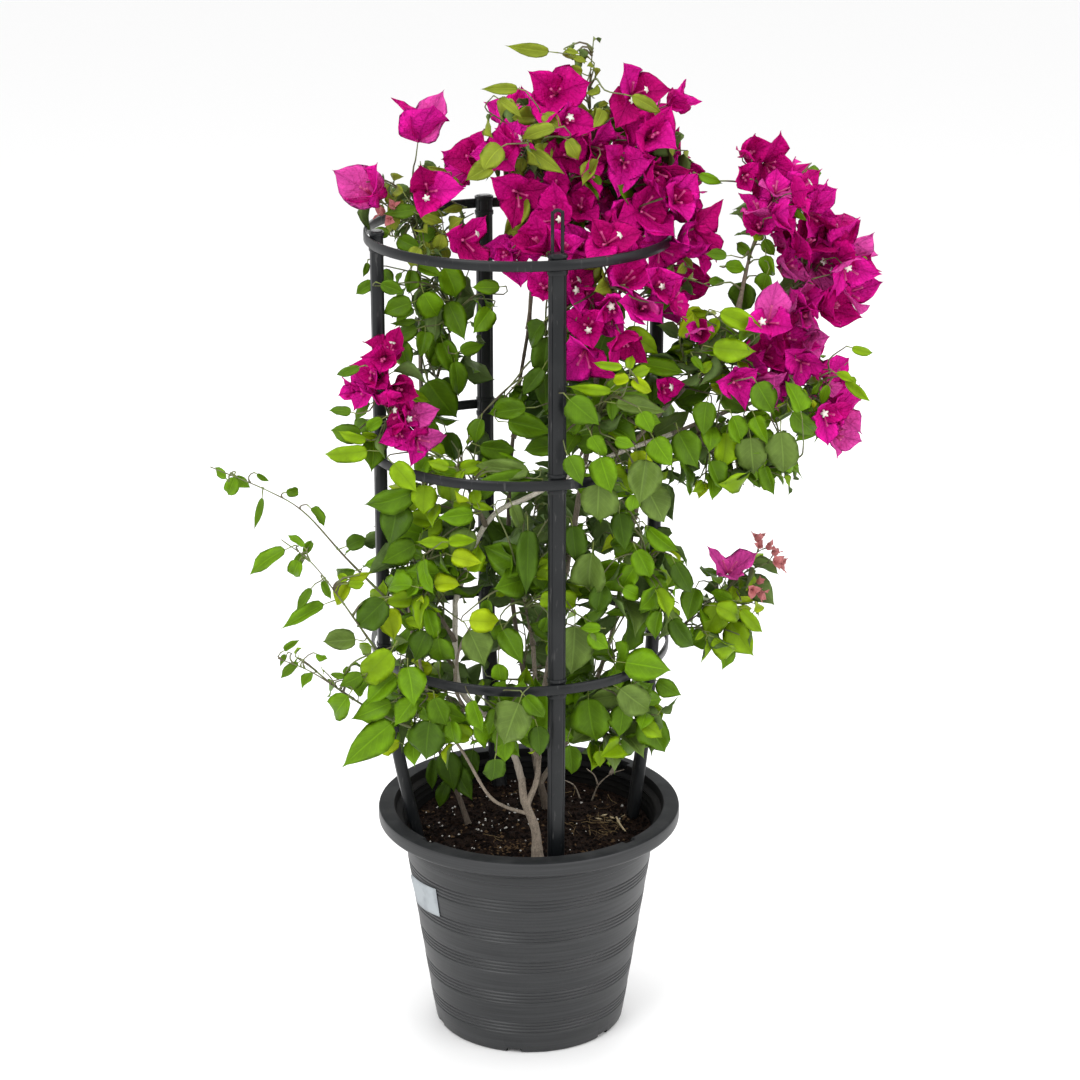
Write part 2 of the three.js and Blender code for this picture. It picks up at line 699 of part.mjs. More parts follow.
// Every twig, leaf and bloom of one mass. taken holds the leaves and blooms of those grown before.
function grow(name, index, taken) {
  const mass = MASSES[name];
  const random = seeded(1009 + 7919 * index);
  const barriers = barriersFor(name).filter(({ place }) => place.distanceTo(fromArray(mass.centre)) < NEAR);
  const stem = curveOf(name);
  const grown = { twigs: [], leaves: [], blooms: [] };
  const within = (point) => inSpace(name, point, MARGIN, 1 + SWELL) && clearOfPot(point);
  const free = (point, radius) =>
    inSpace(name, point, MARGIN + radius, 1) &&
    clearOfPot(point) &&
    barriers.every((b) => b.place.distanceTo(point) > b.radius + radius + TWIG_CLEAR);

  const leafFits = (leaf) => {
    if (!leafCorners(leaf).slice(1).every(within)) return false;
    if (barriers.some((b) => leafMeets(leaf, b.place, b.radius + LEAF_CLEAR))) return false;
    const inTheWay = (p) => p.distanceTo(leaf.foot) > 9 && leafMeets(leaf, p, 2);
    if (grown.twigs.some((twig) => twig.points.some(inTheWay))) return false;
    if (taken.blooms.some((bloom) => leafMeets(leaf, bloom.heart, bloom.radius * BLOOM.core))) return false;
    const points = leafPoints(leaf);
    for (const other of taken.leaves) {
      if (other.foot.distanceTo(leaf.foot) > other.length + leaf.length) continue;
      if (points.some((p) => leafMeets(other, p, PLATE))) return false;
      if (other.points.some((p) => leafMeets(leaf, p, PLATE))) return false;
    }
    leaf.points = points;
    return true;
  };

  const placeLeaf = (foot, along, turn, wanted) => {
    for (let attempt = 0; attempt < LEAF.tries; attempt++) {
      const out = aside(along, turn + attempt * 1.3);
      const droop = LEAF.droop * (0.5 + random());
      const direction = along.clone().multiplyScalar(LEAF.forward).add(out);
      direction.add(vector(0, 0, -droop)).normalize();
      const outward = foot.clone().setX(foot.x - CAGE.x).setZ(0).normalize();
      const facing = vector(random() - 0.5, random() - 0.5, 0.25 + 0.6 * random());
      facing.addScaledVector(outward, LEAF.outward);
      const normal = facing.addScaledVector(direction, -facing.dot(direction)).normalize();
      const side = direction.clone().cross(normal);
      const leaf = { foot, direction, normal, side, length: wanted * (1 - 0.05 * attempt) };
      if (!leafFits(leaf)) continue;
      taken.leaves.push(leaf);
      grown.leaves.push(leaf);
      return;
    }
  };

  const placeBloom = (foot, towards, turn) => {
    if (grown.blooms.length >= (mass.clusters ?? Infinity)) return;
    for (let attempt = 0; attempt < BLOOM.tries; attempt++) {
      const lean = aside(towards, turn + attempt * 2);
      const axis = towards.clone().addScaledVector(lean, 0.25 * attempt).normalize();
      const radius = BLOOM.radius * (1.05 - 0.07 * attempt);
      const heart = foot.clone().addScaledVector(axis, BLOOM.depth * BLOOM.heart);
      const bloom = { foot, axis, radius, turn, heart };
      if (!bloomCorners(bloom).slice(0, BLOOM.outer).every(within)) continue;
      if (barriers.some((b) => bloomMeets(bloom, b.place, b.radius + LEAF_CLEAR))) continue;
      const crowds = (other) => other.heart.distanceTo(heart) < BLOOM.apart * (other.radius + radius);
      if (taken.blooms.some(crowds)) continue;
      if (taken.leaves.some((leaf) => leafMeets(leaf, heart, radius * BLOOM.room))) continue;
      taken.blooms.push(bloom);
      grown.blooms.push(bloom);
      return;
    }
  };

  // A twig from the stem, shortened until it fits, or none.
  const placeTwig = (base, tangent, along, turn, wanted) => {
    for (let attempt = 0; attempt < TWIG.tries; attempt++) {
      const out = aside(tangent, turn + attempt * 1.1);
      const direction = tangent.clone().multiplyScalar(along).addScaledVector(out, mass.spread ?? 1);
      direction.add(vector(0, 0, TWIG.lift)).normalize();
      const length = (reachOf(mass, base, direction) - TWIG.margin) * wanted * (1 - 0.1 * attempt);
      if (length < TWIG.shortest) continue;
      const tip = base.clone().addScaledVector(direction, length);
      const points = [];
      for (let p = TWIG.step; p < length; p += TWIG.step) {
        points.push(base.clone().addScaledVector(direction, p));
      }
      points.push(tip);
      if (!points.every((point) => free(point, TWIG.root))) continue;
      if (points.some((point) => taken.leaves.some((leaf) => leafMeets(leaf, point, TWIG.clear)))) continue;
      return { base, tip, direction, length, points };
    }
    return null;
  };

  for (let i = 0; i < mass.twigs; i++) {
    const at = TWIG.firstAt + ((TWIG.lastAt - TWIG.firstAt) * (i + 1)) / mass.twigs;
    const blooming = mass.blooms !== undefined && at >= mass.blooms[0] && at <= mass.blooms[1];
    const along = i === mass.twigs - 1 ? TWIG.lastForward : TWIG.forward;
    const turn = i * GOLDEN + random() * 0.6;
    const twig = placeTwig(stem.getPointAt(at), stem.getTangentAt(at), along, turn, 0.7 + 0.3 * random());
    if (!twig) continue;
    grown.twigs.push(twig);
    const alongTwig = (share) => twig.base.clone().lerp(twig.tip, share);
    if (blooming) {
      BLOOM.shares.forEach((share, k) => {
        const round = k * GOLDEN + random() * 2;
        const towards = aside(twig.direction, round).multiplyScalar(k === 0 ? 0 : 1);
        placeBloom(alongTwig(share), towards.addScaledVector(twig.direction, 0.6).normalize(), round);
      });
    }
    const count = Math.floor(twig.length / LEAF.spacing);
    const last = blooming ? LAST_BEFORE_BLOOM : LAST_LEAF;
    for (let k = 0; k <= count; k++) {
      const foot = alongTwig((last * (k + 0.7)) / (count + 0.7));
      const round = k * GOLDEN + random();
      placeLeaf(foot, twig.direction, round, mass.leaf * (LEAF.smallest + LEAF.chance * random()));
    }
  }
  return grown;
}

// How far a mass's ellipsoid reaches from a point in a direction.
function reachOf(mass, from, direction) {
  const size = fromArray(mass.size);
  const start = from.clone().sub(fromArray(mass.centre)).divide(size);
  const step = direction.clone().divide(size);
  const a = step.dot(step);
  const b = start.dot(step);
  const inside = b * b - a * (start.dot(start) - 1);
  return inside > 0 ? (-b + Math.sqrt(inside)) / a : 0;
}

function polyhedron(corners, faces) {
  const geometry = new THREE.BufferGeometry().setFromPoints(corners);
  geometry.setIndex(faces.flat());
  return solid(geometry);
}

const LEAF_FACES = [[0, 4, 1], [1, 4, 3], [3, 4, 2], [2, 4, 0], [0, 1, 3], [0, 3, 2]];
const BLOOM_FACES = [0, 1, 2, 3, 4, 5].flatMap((i) => [[i, (i + 1) % 6, 6], [(i + 1) % 6, i, 7]]);

function twigTube({ base, tip }) {
  const path = new THREE.LineCurve3(base, tip);
  return solid(tube(path, (along) => TWIG.root + (TWIG.tip - TWIG.root) * along, 3, 1));
}

// A mass as one solid: its stem, twigs, leaves and blooms fused, clear of the limb that carries it.
function mass(name, index, taken) {
  const grown = grow(name, index, taken);
  const steps = MASSES[name].via.length + 1;
  const parts = [solid(tube(curveOf(name), stemRadius, 4, steps))];
  parts.push(...grown.twigs.map(twigTube));
  parts.push(...grown.leaves.map((leaf) => polyhedron(leafCorners(leaf), LEAF_FACES)));
  parts.push(...grown.blooms.map((bloom) => polyhedron(bloomCorners(bloom), BLOOM_FACES)));
  const shape = wasm.Manifold.union(parts);
  return seated(shape, MASSES[name]);
}

// Materials
const material = (color, roughness) => new THREE.MeshStandardMaterial({ color, roughness, metalness: 0 });
const potPlastic = material("#3a3c3e", 0.6);
const cagePlastic = material("#26282b", 0.4);
const soilBrown = material("#2e1c14", 0.95);
const bark = material("#8d7a6a", 0.85);
const foliage = material("#4a8a24", 0.5);
const blossom = material("#c9067e", 0.6);

const plant = new THREE.Group();
plant.name = "bougainvillea";

function add(name, shape, look) {
  const mesh = new THREE.Mesh(geometryOf(shape), look);
  mesh.name = name;
  plant.add(mesh);
}

add("pot", pot(), potPlastic);
add("soil", soil(Object.values(POLES).map((degrees) => poleTube(degrees, CLEAR))), soilBrown);
for (const [side, degrees] of Object.entries(POLES)) {
  const shape = pole(degrees);
  add(`pole_${side}`, side === "front" ? shape.add(prong()) : shape, cagePlastic);
}
CAGE.hoopTops.forEach((top, i) => add(`hoop_${["low", "middle", "top"][i]}`, hoop(top), cagePlastic));
for (const name of Object.keys(LIMBS)) add(name, seated(limbTube(name, 0), LIMBS[name]), bark);

const taken = { leaves: [], blooms: [] };
Object.keys(MASSES).forEach((name, index) => {
  add(name, mass(name, index, taken), MASSES[name].blooms?.[0] < MOSTLY_BLOSSOM ? blossom : foliage);
});

export default plant;
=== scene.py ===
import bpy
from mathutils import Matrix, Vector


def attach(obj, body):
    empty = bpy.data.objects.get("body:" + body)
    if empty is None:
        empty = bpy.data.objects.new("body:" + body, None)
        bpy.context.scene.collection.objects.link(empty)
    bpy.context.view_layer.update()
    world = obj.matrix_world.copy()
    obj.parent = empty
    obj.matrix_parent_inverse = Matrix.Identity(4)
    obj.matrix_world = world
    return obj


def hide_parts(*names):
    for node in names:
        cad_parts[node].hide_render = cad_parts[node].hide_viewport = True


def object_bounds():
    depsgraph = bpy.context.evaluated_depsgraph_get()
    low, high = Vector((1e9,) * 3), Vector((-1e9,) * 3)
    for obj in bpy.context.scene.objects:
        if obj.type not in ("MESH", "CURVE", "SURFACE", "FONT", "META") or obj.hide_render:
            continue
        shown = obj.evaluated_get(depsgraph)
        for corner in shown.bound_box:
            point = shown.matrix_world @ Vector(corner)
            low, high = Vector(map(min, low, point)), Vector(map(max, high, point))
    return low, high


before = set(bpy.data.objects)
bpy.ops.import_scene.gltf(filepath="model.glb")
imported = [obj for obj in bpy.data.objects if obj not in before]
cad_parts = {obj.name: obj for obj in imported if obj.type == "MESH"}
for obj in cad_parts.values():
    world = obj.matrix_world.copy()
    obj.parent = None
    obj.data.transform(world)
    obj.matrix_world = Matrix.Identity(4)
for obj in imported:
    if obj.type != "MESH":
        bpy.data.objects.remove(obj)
CAD_BOX = [list(corner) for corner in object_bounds()]

import math

import bpy
import numpy as np
from mathutils import Vector, noise

# A bougainvillea in a round ribbed nursery pot, trained up a hoop cage. Shapes are worked out in
# millimetres and stored in metres. +Z is up and -Y is the front.
MM = 0.001
GOLDEN = math.radians(137.5)

# The photograph's viewpoint
CAMERA_AT = (0.011, -2.576, 1.359)
CAMERA_PITCH = 18.33
CAMERA_LENS = 93.4
SENSOR = 36
PHOTO_WIDTH = 1080  # pixels
PHOTO_MIDDLE = PHOTO_WIDTH / 2
FOCAL = CAMERA_LENS / SENSOR * PHOTO_WIDTH  # pixels
EYE = np.array(CAMERA_AT) / MM
PITCH_COS, PITCH_SIN = math.cos(math.radians(CAMERA_PITCH)), math.sin(math.radians(CAMERA_PITCH))
PICTURE_UP = np.array([0, PITCH_SIN, PITCH_COS])
TO_VIEWER = np.array([0, -PITCH_COS, PITCH_SIN])
SLOPE = 0.331  # how far a line of sight falls for each millimetre that it goes back

# Pot
POT_HEIGHT = 232
RIM = 150
MOUTH = 133.5
SHOULDER = 126
SHOULDER_HEIGHT = 206
BASE = 95
WALL = 2.2
FLOOR = 5
LIP = 14
POT_SIDES = 160
GROOVE_BANDS = [172, 136.5, 101, 65.5, 30]  # middle heights of the bands of fine grooves
GROOVES = 4
GROOVE_PITCH = 3.9
GROOVE_DEPTH = 0.8
DRAINS = 6
RIM_SLOTS = 4
SOIL_TOP = 202
POT_BLACK = (0.016, 0.017, 0.018)

# Cage
CAGE_X = -8.6
CAGE_TURN = 15
POLE_RADIUS = 136
POLE_TOP = 818
POLE_ACROSS = 8.2
POLE_DEEP = 6
CAGE_BEND = 400
CAGE_FOOT = 150
FOOT_IN = 36
FOOT_SHIFT = 8.6
FOOT_POWER = 1.45
HOOP_TOPS = {"low": 409, "middle": 609, "top": 813}
HOOP_HEIGHT = 9.5
HOOP_INNER = 142.6
HOOP_OUTER = 145.4
HOOP_MIDDLE = 144
POLES = {"front": -90, "right": 0, "back": 90, "left": 180}

# Canes and boughs in millimetres. on is the limb that each grows from, at is how far along it, foot is
# where one stands in the soil, and via is the rest of its route. radius is that of its start and its tip,
# and flare what a foot in the soil has more.
LIMBS = {
    "trunk": dict(
        foot=(9, -78), via=[(6, -75, 235), (-4, -71, 262), (-7, -68, 285)], radius=(6, 4.2), flare=2.5,
    ),
    "rear_trunk": dict(foot=(19, 45), via=[(13, 42, 224), (7, 38, 254)], radius=(4.6, 3.6), flare=1.8),
    "left_stem": dict(
        foot=(-61, 8),
        via=[(-69, 8, 228), (-81, 10, 260), (-99, 14, 310), (-112, 16, 375), (-114, 18, 427)],
        radius=(3, 2.2), flare=1.2,
    ),
    "side_branch": dict(
        on="trunk", at=0.56,
        via=[(-23, -80, 260), (-40, -85, 276), (-61, -88, 317), (-75, -90, 339), (-92, -91, 362)],
        radius=(2.5, 1.7),
    ),
    "left_cane": dict(
        on="trunk", at=1,
        via=[(-16, -66, 312), (-37, -60, 342), (-61, -55, 364), (-70, -55, 392), (-70, -55, 463)],
        radius=(3.4, 2.5),
    ),
    "right_bough": dict(
        on="left_cane", at=1,
        via=[(-51, -60, 520), (-30, -61, 553), (3, -62, 570), (73, -55, 605), (136, -45, 626)],
        radius=(2.6, 2),
    ),
    "front_cane": dict(
        on="trunk", at=0.66, via=[(9, -66, 290), (8, -50, 350), (4, -38, 415)], radius=(2.8, 2),
    ),
    "centre_cane": dict(
        on="rear_trunk", at=1,
        via=[(16, 25, 340), (31, 15, 438), (45, 10, 522), (59, 5, 615), (68, 0, 703)],
        radius=(3.5, 2.4),
    ),
    "crown_cane": dict(
        on="centre_cane", at=1, via=[(68, -3, 750), (67, -6, 800), (64, -10, 850)], radius=(2.4, 1.9),
    ),
    "right_cane": dict(
        on="rear_trunk", at=0.6,
        via=[(51, 22, 310), (70, 0, 371), (83, -20, 425), (87, -25, 455), (95, -30, 492),
             (101, -35, 540)], radius=(2.6, 1.8),
    ),
    "back_cane": dict(
        on="rear_trunk", at=0.5,
        via=[(4, 58, 262), (-4, 64, 330), (-17, 76, 420), (-20, 80, 520), (-12, 76, 620),
             (0, 70, 700)], radius=(2.6, 1.7),
    ),
    "upper_left_cane": dict(
        on="left_stem", at=1, via=[(-104, 20, 519), (-99, 20, 590), (-103, 20, 655), (-103, 22, 738)],
        radius=(2.4, 1.9),
    ),
    "right_rise": dict(
        on="right_bough", at=0.84, via=[(128, -42, 650), (168, -38, 695), (196, -37, 745)],
        radius=(2, 1.8),
    ),
    "right_reach": dict(
        on="right_rise", at=0.66, via=[(205, -32, 725), (238, -22, 752)], radius=(1.8, 1.7),
    ),
    "right_droop": dict(
        on="right_bough", at=1, via=[(175, -42, 642), (216, -34, 655)], radius=(2, 1.8),
    ),
}

# Masses of foliage, each on a stem that is given as a limb is. centre and size are the space it keeps to,
# twigs how many grow from its stem in the solids, leaf the length of a full leaf there, blooms the stretch
# of stem that flowers, clusters the most blooms of the solids, and spread how far twigs turn outwards.
MASSES = {
    "low_left": dict(
        on="left_cane", at=0.42, via=[(-80, -78, 356), (-98, -88, 352)], centre=(-96, -76, 356),
        size=(62, 52, 62), twigs=4, leaf=69,
    ),
    "low_front": dict(
        on="front_cane", at=0.3, via=[(-8, -84, 338), (-18, -100, 352)], centre=(-14, -96, 352),
        size=(66, 44, 66), twigs=4, leaf=75,
    ),
    "low_right": dict(
        on="right_cane", at=0.3, via=[(78, -24, 338), (88, -52, 352)], centre=(84, -52, 362),
        size=(66, 62, 70), twigs=4, leaf=71,
    ),
    "low_back": dict(
        on="back_cane", at=0.22, via=[(-8, 86, 330), (18, 104, 340)], centre=(12, 92, 350),
        size=(92, 56, 70), twigs=4, leaf=69,
    ),
    "low_back_left": dict(
        on="left_stem", at=0.5, via=[(-108, 40, 316), (-96, 66, 336)], centre=(-100, 52, 356),
        size=(58, 60, 70), twigs=3, leaf=69,
    ),
    "mid_left": dict(
        on="left_cane", at=0.8, via=[(-90, -76, 466), (-98, -84, 500)], centre=(-88, -74, 492),
        size=(66, 62, 74), twigs=5, leaf=63,
    ),
    "mid_front": dict(
        on="front_cane", at=1, via=[(0, -70, 446), (-6, -92, 486)], centre=(-4, -82, 472),
        size=(62, 58, 76), twigs=5, leaf=69,
    ),
    "mid_right": dict(
        on="right_cane", at=0.72, via=[(108, -56, 478), (112, -72, 506)], centre=(92, -58, 478),
        size=(68, 62, 78), twigs=5, leaf=67,
    ),
    "mid_back": dict(
        on="back_cane", at=0.5, via=[(0, 98, 470), (26, 106, 500)], centre=(6, 92, 488),
        size=(96, 58, 76), twigs=4, leaf=69,
    ),
    "mid_back_left": dict(
        on="left_stem", at=0.86, via=[(-120, 34, 462), (-108, 56, 500)], centre=(-104, 46, 488),
        size=(58, 62, 70), twigs=3, leaf=67,
    ),
    "mid_core": dict(
        on="centre_cane", at=0.38, via=[(6, 4, 452), (-18, 2, 500)], centre=(-6, 6, 500),
        size=(70, 46, 84), twigs=3, leaf=75,
    ),
    "front_left": dict(
        on="right_bough", at=0.3, via=[(-52, -80, 574), (-66, -88, 602)], centre=(-58, -74, 590),
        size=(68, 60, 46), twigs=4, leaf=67,
    ),
    "front_right": dict(
        on="right_bough", at=0.56, via=[(50, -84, 618), (62, -96, 654)], centre=(58, -78, 618),
        size=(72, 60, 76), twigs=5, leaf=69,
    ),
    "upper_right": dict(
        on="right_cane", at=1, via=[(112, -14, 590), (112, 4, 640)], centre=(108, 6, 606),
        size=(58, 66, 80), twigs=4, leaf=69,
    ),
    "upper_core": dict(
        on="centre_cane", at=0.8, via=[(34, -10, 664), (16, -18, 714)], centre=(28, -10, 690),
        size=(62, 56, 92), twigs=5, leaf=71,
    ),
    "upper_back": dict(
        on="back_cane", at=0.76, via=[(12, 92, 640), (38, 96, 690)], centre=(14, 84, 656),
        size=(92, 60, 84), twigs=4, leaf=67,
    ),
    "upper_left": dict(
        on="upper_left_cane", at=0.62, via=[(-82, 8, 684), (-70, 2, 730)], centre=(-84, 12, 706),
        size=(52, 52, 92), twigs=5, leaf=61,
    ),
    "left_blossom": dict(
        on="upper_left_cane", at=0.42, via=[(-112, -34, 616), (-126, -66, 640), (-130, -78, 676)],
        centre=(-132, -72, 662), size=(52, 48, 58), twigs=4, leaf=61, blooms=(0.5, 1), clusters=7,
    ),
    "crown_left": dict(
        on="upper_left_cane", at=1, via=[(-104, 16, 790), (-108, 4, 850)], centre=(-104, 0, 848),
        size=(86, 74, 84), twigs=4, leaf=57, blooms=(0.35, 1), clusters=6,
    ),
    "crown_middle": dict(
        on="crown_cane", at=0.5, via=[(32, -8, 828), (8, -12, 874)], centre=(8, -8, 866),
        size=(62, 66, 92), twigs=5, leaf=57, blooms=(0.25, 1),
    ),
    "crown_top": dict(
        on="crown_cane", at=1, via=[(59, -12, 907), (56, -12, 940), (60, -10, 992)],
        centre=(62, -10, 930), size=(60, 60, 80), twigs=5, leaf=34, blooms=(0, 0.6), spread=0.55,
    ),
    "crown_right": dict(
        on="crown_cane", at=0.72, via=[(96, -4, 850), (122, 0, 888)], centre=(108, -6, 864),
        size=(60, 66, 88), twigs=4, leaf=55, blooms=(0, 1),
    ),
    "crown_front": dict(
        on="crown_cane", at=0.3, via=[(64, -60, 768), (66, -98, 778)], centre=(64, -88, 778),
        size=(80, 58, 64), twigs=5, leaf=57, blooms=(0, 1),
    ),
    "crown_link": dict(
        on="crown_cane", at=0.1, via=[(108, -6, 752), (142, -14, 790)], centre=(136, -14, 784),
        size=(56, 54, 56), twigs=3, leaf=55, blooms=(0, 1),
    ),
    "crown_back": dict(
        on="back_cane", at=1, via=[(8, 78, 780), (30, 84, 850)], centre=(34, 84, 820),
        size=(100, 66, 104), twigs=5, leaf=61, blooms=(0.4, 1),
    ),
    "right_leaves": dict(
        on="right_droop", at=0.3, via=[(170, -50, 612), (226, -50, 594)], centre=(184, -46, 606),
        size=(82, 64, 52), twigs=6, leaf=67,
    ),
    "right_low_blossom": dict(
        on="right_droop", at=1, via=[(256, -26, 668), (282, -20, 650)], centre=(250, -24, 672),
        size=(68, 56, 58), twigs=5, leaf=55, blooms=(0.3, 1),
    ),
    "right_top_blossom": dict(
        on="right_rise", at=1, via=[(208, -24, 800), (228, -8, 846)], centre=(228, -8, 846),
        size=(78, 60, 52), twigs=5, leaf=49, blooms=(0.3, 1),
    ),
    "right_blossom": dict(
        on="right_reach", at=1, via=[(264, -10, 770), (288, 0, 786)], centre=(262, -8, 768),
        size=(68, 62, 54), twigs=5, leaf=49, blooms=(0.2, 1),
    ),
    "right_inner": dict(
        on="right_rise", at=0.4, via=[(158, -50, 682), (192, -62, 704)], centre=(178, -46, 706),
        size=(64, 60, 52), twigs=6, leaf=61, blooms=(0.6, 1), clusters=4,
    ),
    "spray_left_high": dict(
        on="left_cane", at=0.66,
        via=[(-121, -85, 462), (-168, -105, 521), (-206, -115, 570), (-239, -120, 593),
             (-290, -127, 618)], centre=(-206, -116, 572), size=(96, 46, 86), twigs=4, leaf=36,
        spread=0.3,
    ),
    "spray_left_mid": dict(
        on="side_branch", at=1,
        via=[(-122, -100, 395), (-150, -111, 445), (-195, -132, 522), (-226, -139, 552)],
        centre=(-178, -128, 492), size=(80, 48, 90), twigs=4, leaf=49, spread=0.4,
    ),
    "spray_left_low": dict(
        on="side_branch", at=0.78,
        via=[(-110, -104, 352), (-154, -114, 378), (-201, -135, 420), (-232, -145, 438)],
        centre=(-182, -126, 396), size=(74, 46, 64), twigs=4, leaf=49, spread=0.4,
    ),
    "spray_right": dict(
        on="right_cane", at=0.52,
        via=[(108, -30, 418), (135, -22, 417), (172, -14, 440), (204, -8, 468)],
        centre=(190, -12, 446), size=(66, 56, 62), twigs=5, leaf=57, blooms=(0.8, 1), clusters=1,
        spread=0.7,
    ),
}

# The rule that every mass grows by
TWIG_FIRST, TWIG_LAST = 0.12, 0.98
TWIG_FORWARD, TWIG_LAST_FORWARD, TWIG_LIFT = 0.55, 1.5, 0.25
TWIG_SHORTEST = 12
TWIG_RADIUS = (1.15, 0.55)
STEM_RADIUS = (2.2, 1.3)
LARGER = 1.38  # how much larger than life the leaves of the solids are
FULL_LEAF = 1.12  # a full leaf here, by the life size that the solids start from
MORE_TWIGS = 1.9  # twigs here for each one of the solids
LEAF_GAP = 15.5  # between leaves on a twig
SWELL = 0.14  # the share by which leaves may pass the space of their mass
PAST_NEIGHBOUR = 14  # how far leaves may mingle with those of the next mass
TWIG_PAST = 6  # how far twigs may reach past the edge with the next mass
TWIG_ROOM = 1.2  # between a twig and a limb, stem, pole or hoop
BLADE_ROOM = 1.5  # between blades
LIMB_ROOM = 1  # between a blade and a limb, stem, pole or hoop
HEART_ROOM = 20  # between a leaf and the heart of a bloom
HEART_OUT = 15  # from a bloom's foot to its heart
BLOOM_SPACING = 0.85  # between hearts, by a bloom's radius
NEAR = 170  # how far from a mass's middle a limb may be and still meet it
MANY = 99  # more blooms than any mass bears
ABOVE_ALL = 2000  # a height that nothing reaches

# Seeds of the three rounds of growth, and what sets one mass's numbers apart from the next one's
SHOOT_SEED, PICKED_SEED, TWIG_SEED, SEED_STEP = 401, 211, 1009, 7919

YOUNG_TONE = 4.6  # of the leaves at a shoot's tip

# What turns a size in the photograph into a blade's: a bloom's radius, a leaf's length and its half width
SEEN_BLOOM, SEEN_LENGTH, SEEN_WIDTH = 1.48, 1.06, 0.92

# Greens from deep to yellow, then that of the crown's shoots and that of some full leaves, whose greyish tint
# is partly a painted sheen of glare
GREENS = {
    "leaf_deep": (0.030, 0.066, 0.006),
    "leaf_dark": (0.056, 0.118, 0.005),
    "leaf_green": (0.092, 0.190, 0.004),
    "leaf_fresh": (0.132, 0.272, 0.003),
    "leaf_lime": (0.215, 0.365, 0.003),
    "leaf_yellow": (0.340, 0.470, 0.005),
    "leaf_olive": (0.230, 0.285, 0.022),
    "leaf_mature_painted_sheen": (0.130, 0.205, 0.036),
}
# What is seen of a leaf from below, and its stalk
UNDERSIDE = (0.120, 0.190, 0.050)
PETIOLE = (0.150, 0.190, 0.030)
# Bract colours from deep to soft, raised in brightness as a painted glow for the light that shines through
# the thin bracts
MAGENTAS = {
    "bract_deep": (0.460, 0.0015, 0.140),
    "bract_full": (0.640, 0.0030, 0.225),
    "bract_bright": (0.780, 0.0100, 0.340),
    "bract_soft": (0.760, 0.0700, 0.400),
}


def unit(v):
    v = np.asarray(v, float)
    return v / np.linalg.norm(v)


def seeded(seed):
    """Park and Miller's random numbers, from 0 to 1."""
    state = seed
    while True:
        state = state * 48271 % 2147483647
        yield state / 2147483647


def aside(axis, angle):
    """A direction at right angles to axis, turned about it."""
    reference = (0, 0, 1) if abs(axis[2]) < 0.9 else (1, 0, 0)
    first = unit(np.cross(axis, reference))
    return first * math.cos(angle) + np.cross(axis, first) * math.sin(angle)


class Curve:
    """A Catmull-Rom curve, read by the share of its length."""

    def __init__(self, points):
        p = np.array(points, float)
        p = np.vstack([2 * p[0] - p[1], p, 2 * p[-1] - p[-2]])
        t = np.linspace(0, 1, 24, endpoint=False)[:, None]
        rows = [
            b + t * (c - a) / 2 + t**2 * (2 * a - 5 * b + 4 * c - d) / 2 + t**3 * (3 * b - a - 3 * c + d) / 2
            for a, b, c, d in zip(p, p[1:], p[2:], p[3:])
        ]
        self.points = np.vstack([*rows, p[-2:-1]])
        steps = np.linalg.norm(np.diff(self.points, axis=0), axis=1)
        self.along = np.concatenate([[0], np.cumsum(steps)])
        self.length = self.along[-1]

    def at(self, share):
        s = np.asarray(share, float) * self.length
        return np.stack([np.interp(s, self.along, self.points[:, k]) for k in range(3)], -1)

    def tangent(self, share):
        return unit(self.at(min(share + 0.01, 1)) - self.at(max(share - 0.01, 0)))


class Build:
    """Vertices and faces gathered for one joined mesh. look is the material of a face."""

    def __init__(self):
        self.vertices, self.faces, self.looks, self.uvs, self.count = [], [], [], [], 0

    def add(self, vertices, faces, looks=0, uv=None):
        vertices = np.asarray(vertices, float)
        self.vertices.append(vertices)
        self.uvs.append(np.zeros((len(vertices), 2)) if uv is None else np.asarray(uv, float))
        faces = [np.asarray(group, int).reshape(len(group), -1) for group in faces]
        looks = looks if isinstance(looks, (list, tuple)) else [looks] * len(faces)
        for group, look in zip(faces, looks):
            self.faces.append(group + self.count)
            self.looks.append(np.broadcast_to(np.asarray(look, int), (len(group),)))
        self.count += len(vertices)

    def rod(self, path, radius, sides, look=0, relief=None):
        """Add a closed tube along a path."""
        vertices, faces, uv = tube(path, radius, sides, relief)
        self.add(vertices, faces, look, uv)

    def make(self, name, slot, materials, replaces=(), smooth=True):
        vertices = np.vstack(self.vertices) * MM
        uvs = np.vstack(self.uvs)
        corners = np.concatenate([group.ravel() for group in self.faces])
        sizes = np.concatenate([np.full(len(group), group.shape[1]) for group in self.faces])
        mesh = bpy.data.meshes.new(name)
        mesh.vertices.add(len(vertices))
        mesh.vertices.foreach_set("co", vertices.ravel())
        mesh.loops.add(len(corners))
        mesh.loops.foreach_set("vertex_index", corners)
        mesh.polygons.add(len(sizes))
        mesh.polygons.foreach_set("loop_start", np.concatenate([[0], np.cumsum(sizes)[:-1]]))
        mesh.polygons.foreach_set("material_index", np.concatenate(self.looks))
        mesh.polygons.foreach_set("use_smooth", np.full(len(sizes), smooth))
        mesh.uv_layers.new(name="UVMap").data.foreach_set("uv", uvs[corners].ravel())
        mesh.update(calc_edges=True)
        for look in materials:
            mesh.materials.append(look)
        made = bpy.data.objects.new(name, mesh)
        bpy.context.scene.collection.objects.link(made)
        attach(made, "root")
        if replaces:
            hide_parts(*replaces)
        return made


def frames(path):
    """Two directions across a path at each of its points, carried along without twist."""
    tangents = np.gradient(path, axis=0)
    tangents /= np.linalg.norm(tangents, axis=1)[:, None]
    across = aside(tangents[0], 0)
    rows = []
    for tangent in tangents:
        across = unit(across - tangent * across.dot(tangent))
        rows.append(across)
    rows = np.array(rows)
    return rows, np.cross(tangents, rows)


def joined(*sides):
    """Rows, such as faces, whose columns are these arrays spread to one shape."""
    return np.stack(np.broadcast_arrays(*sides), -1).reshape(-1, len(sides))


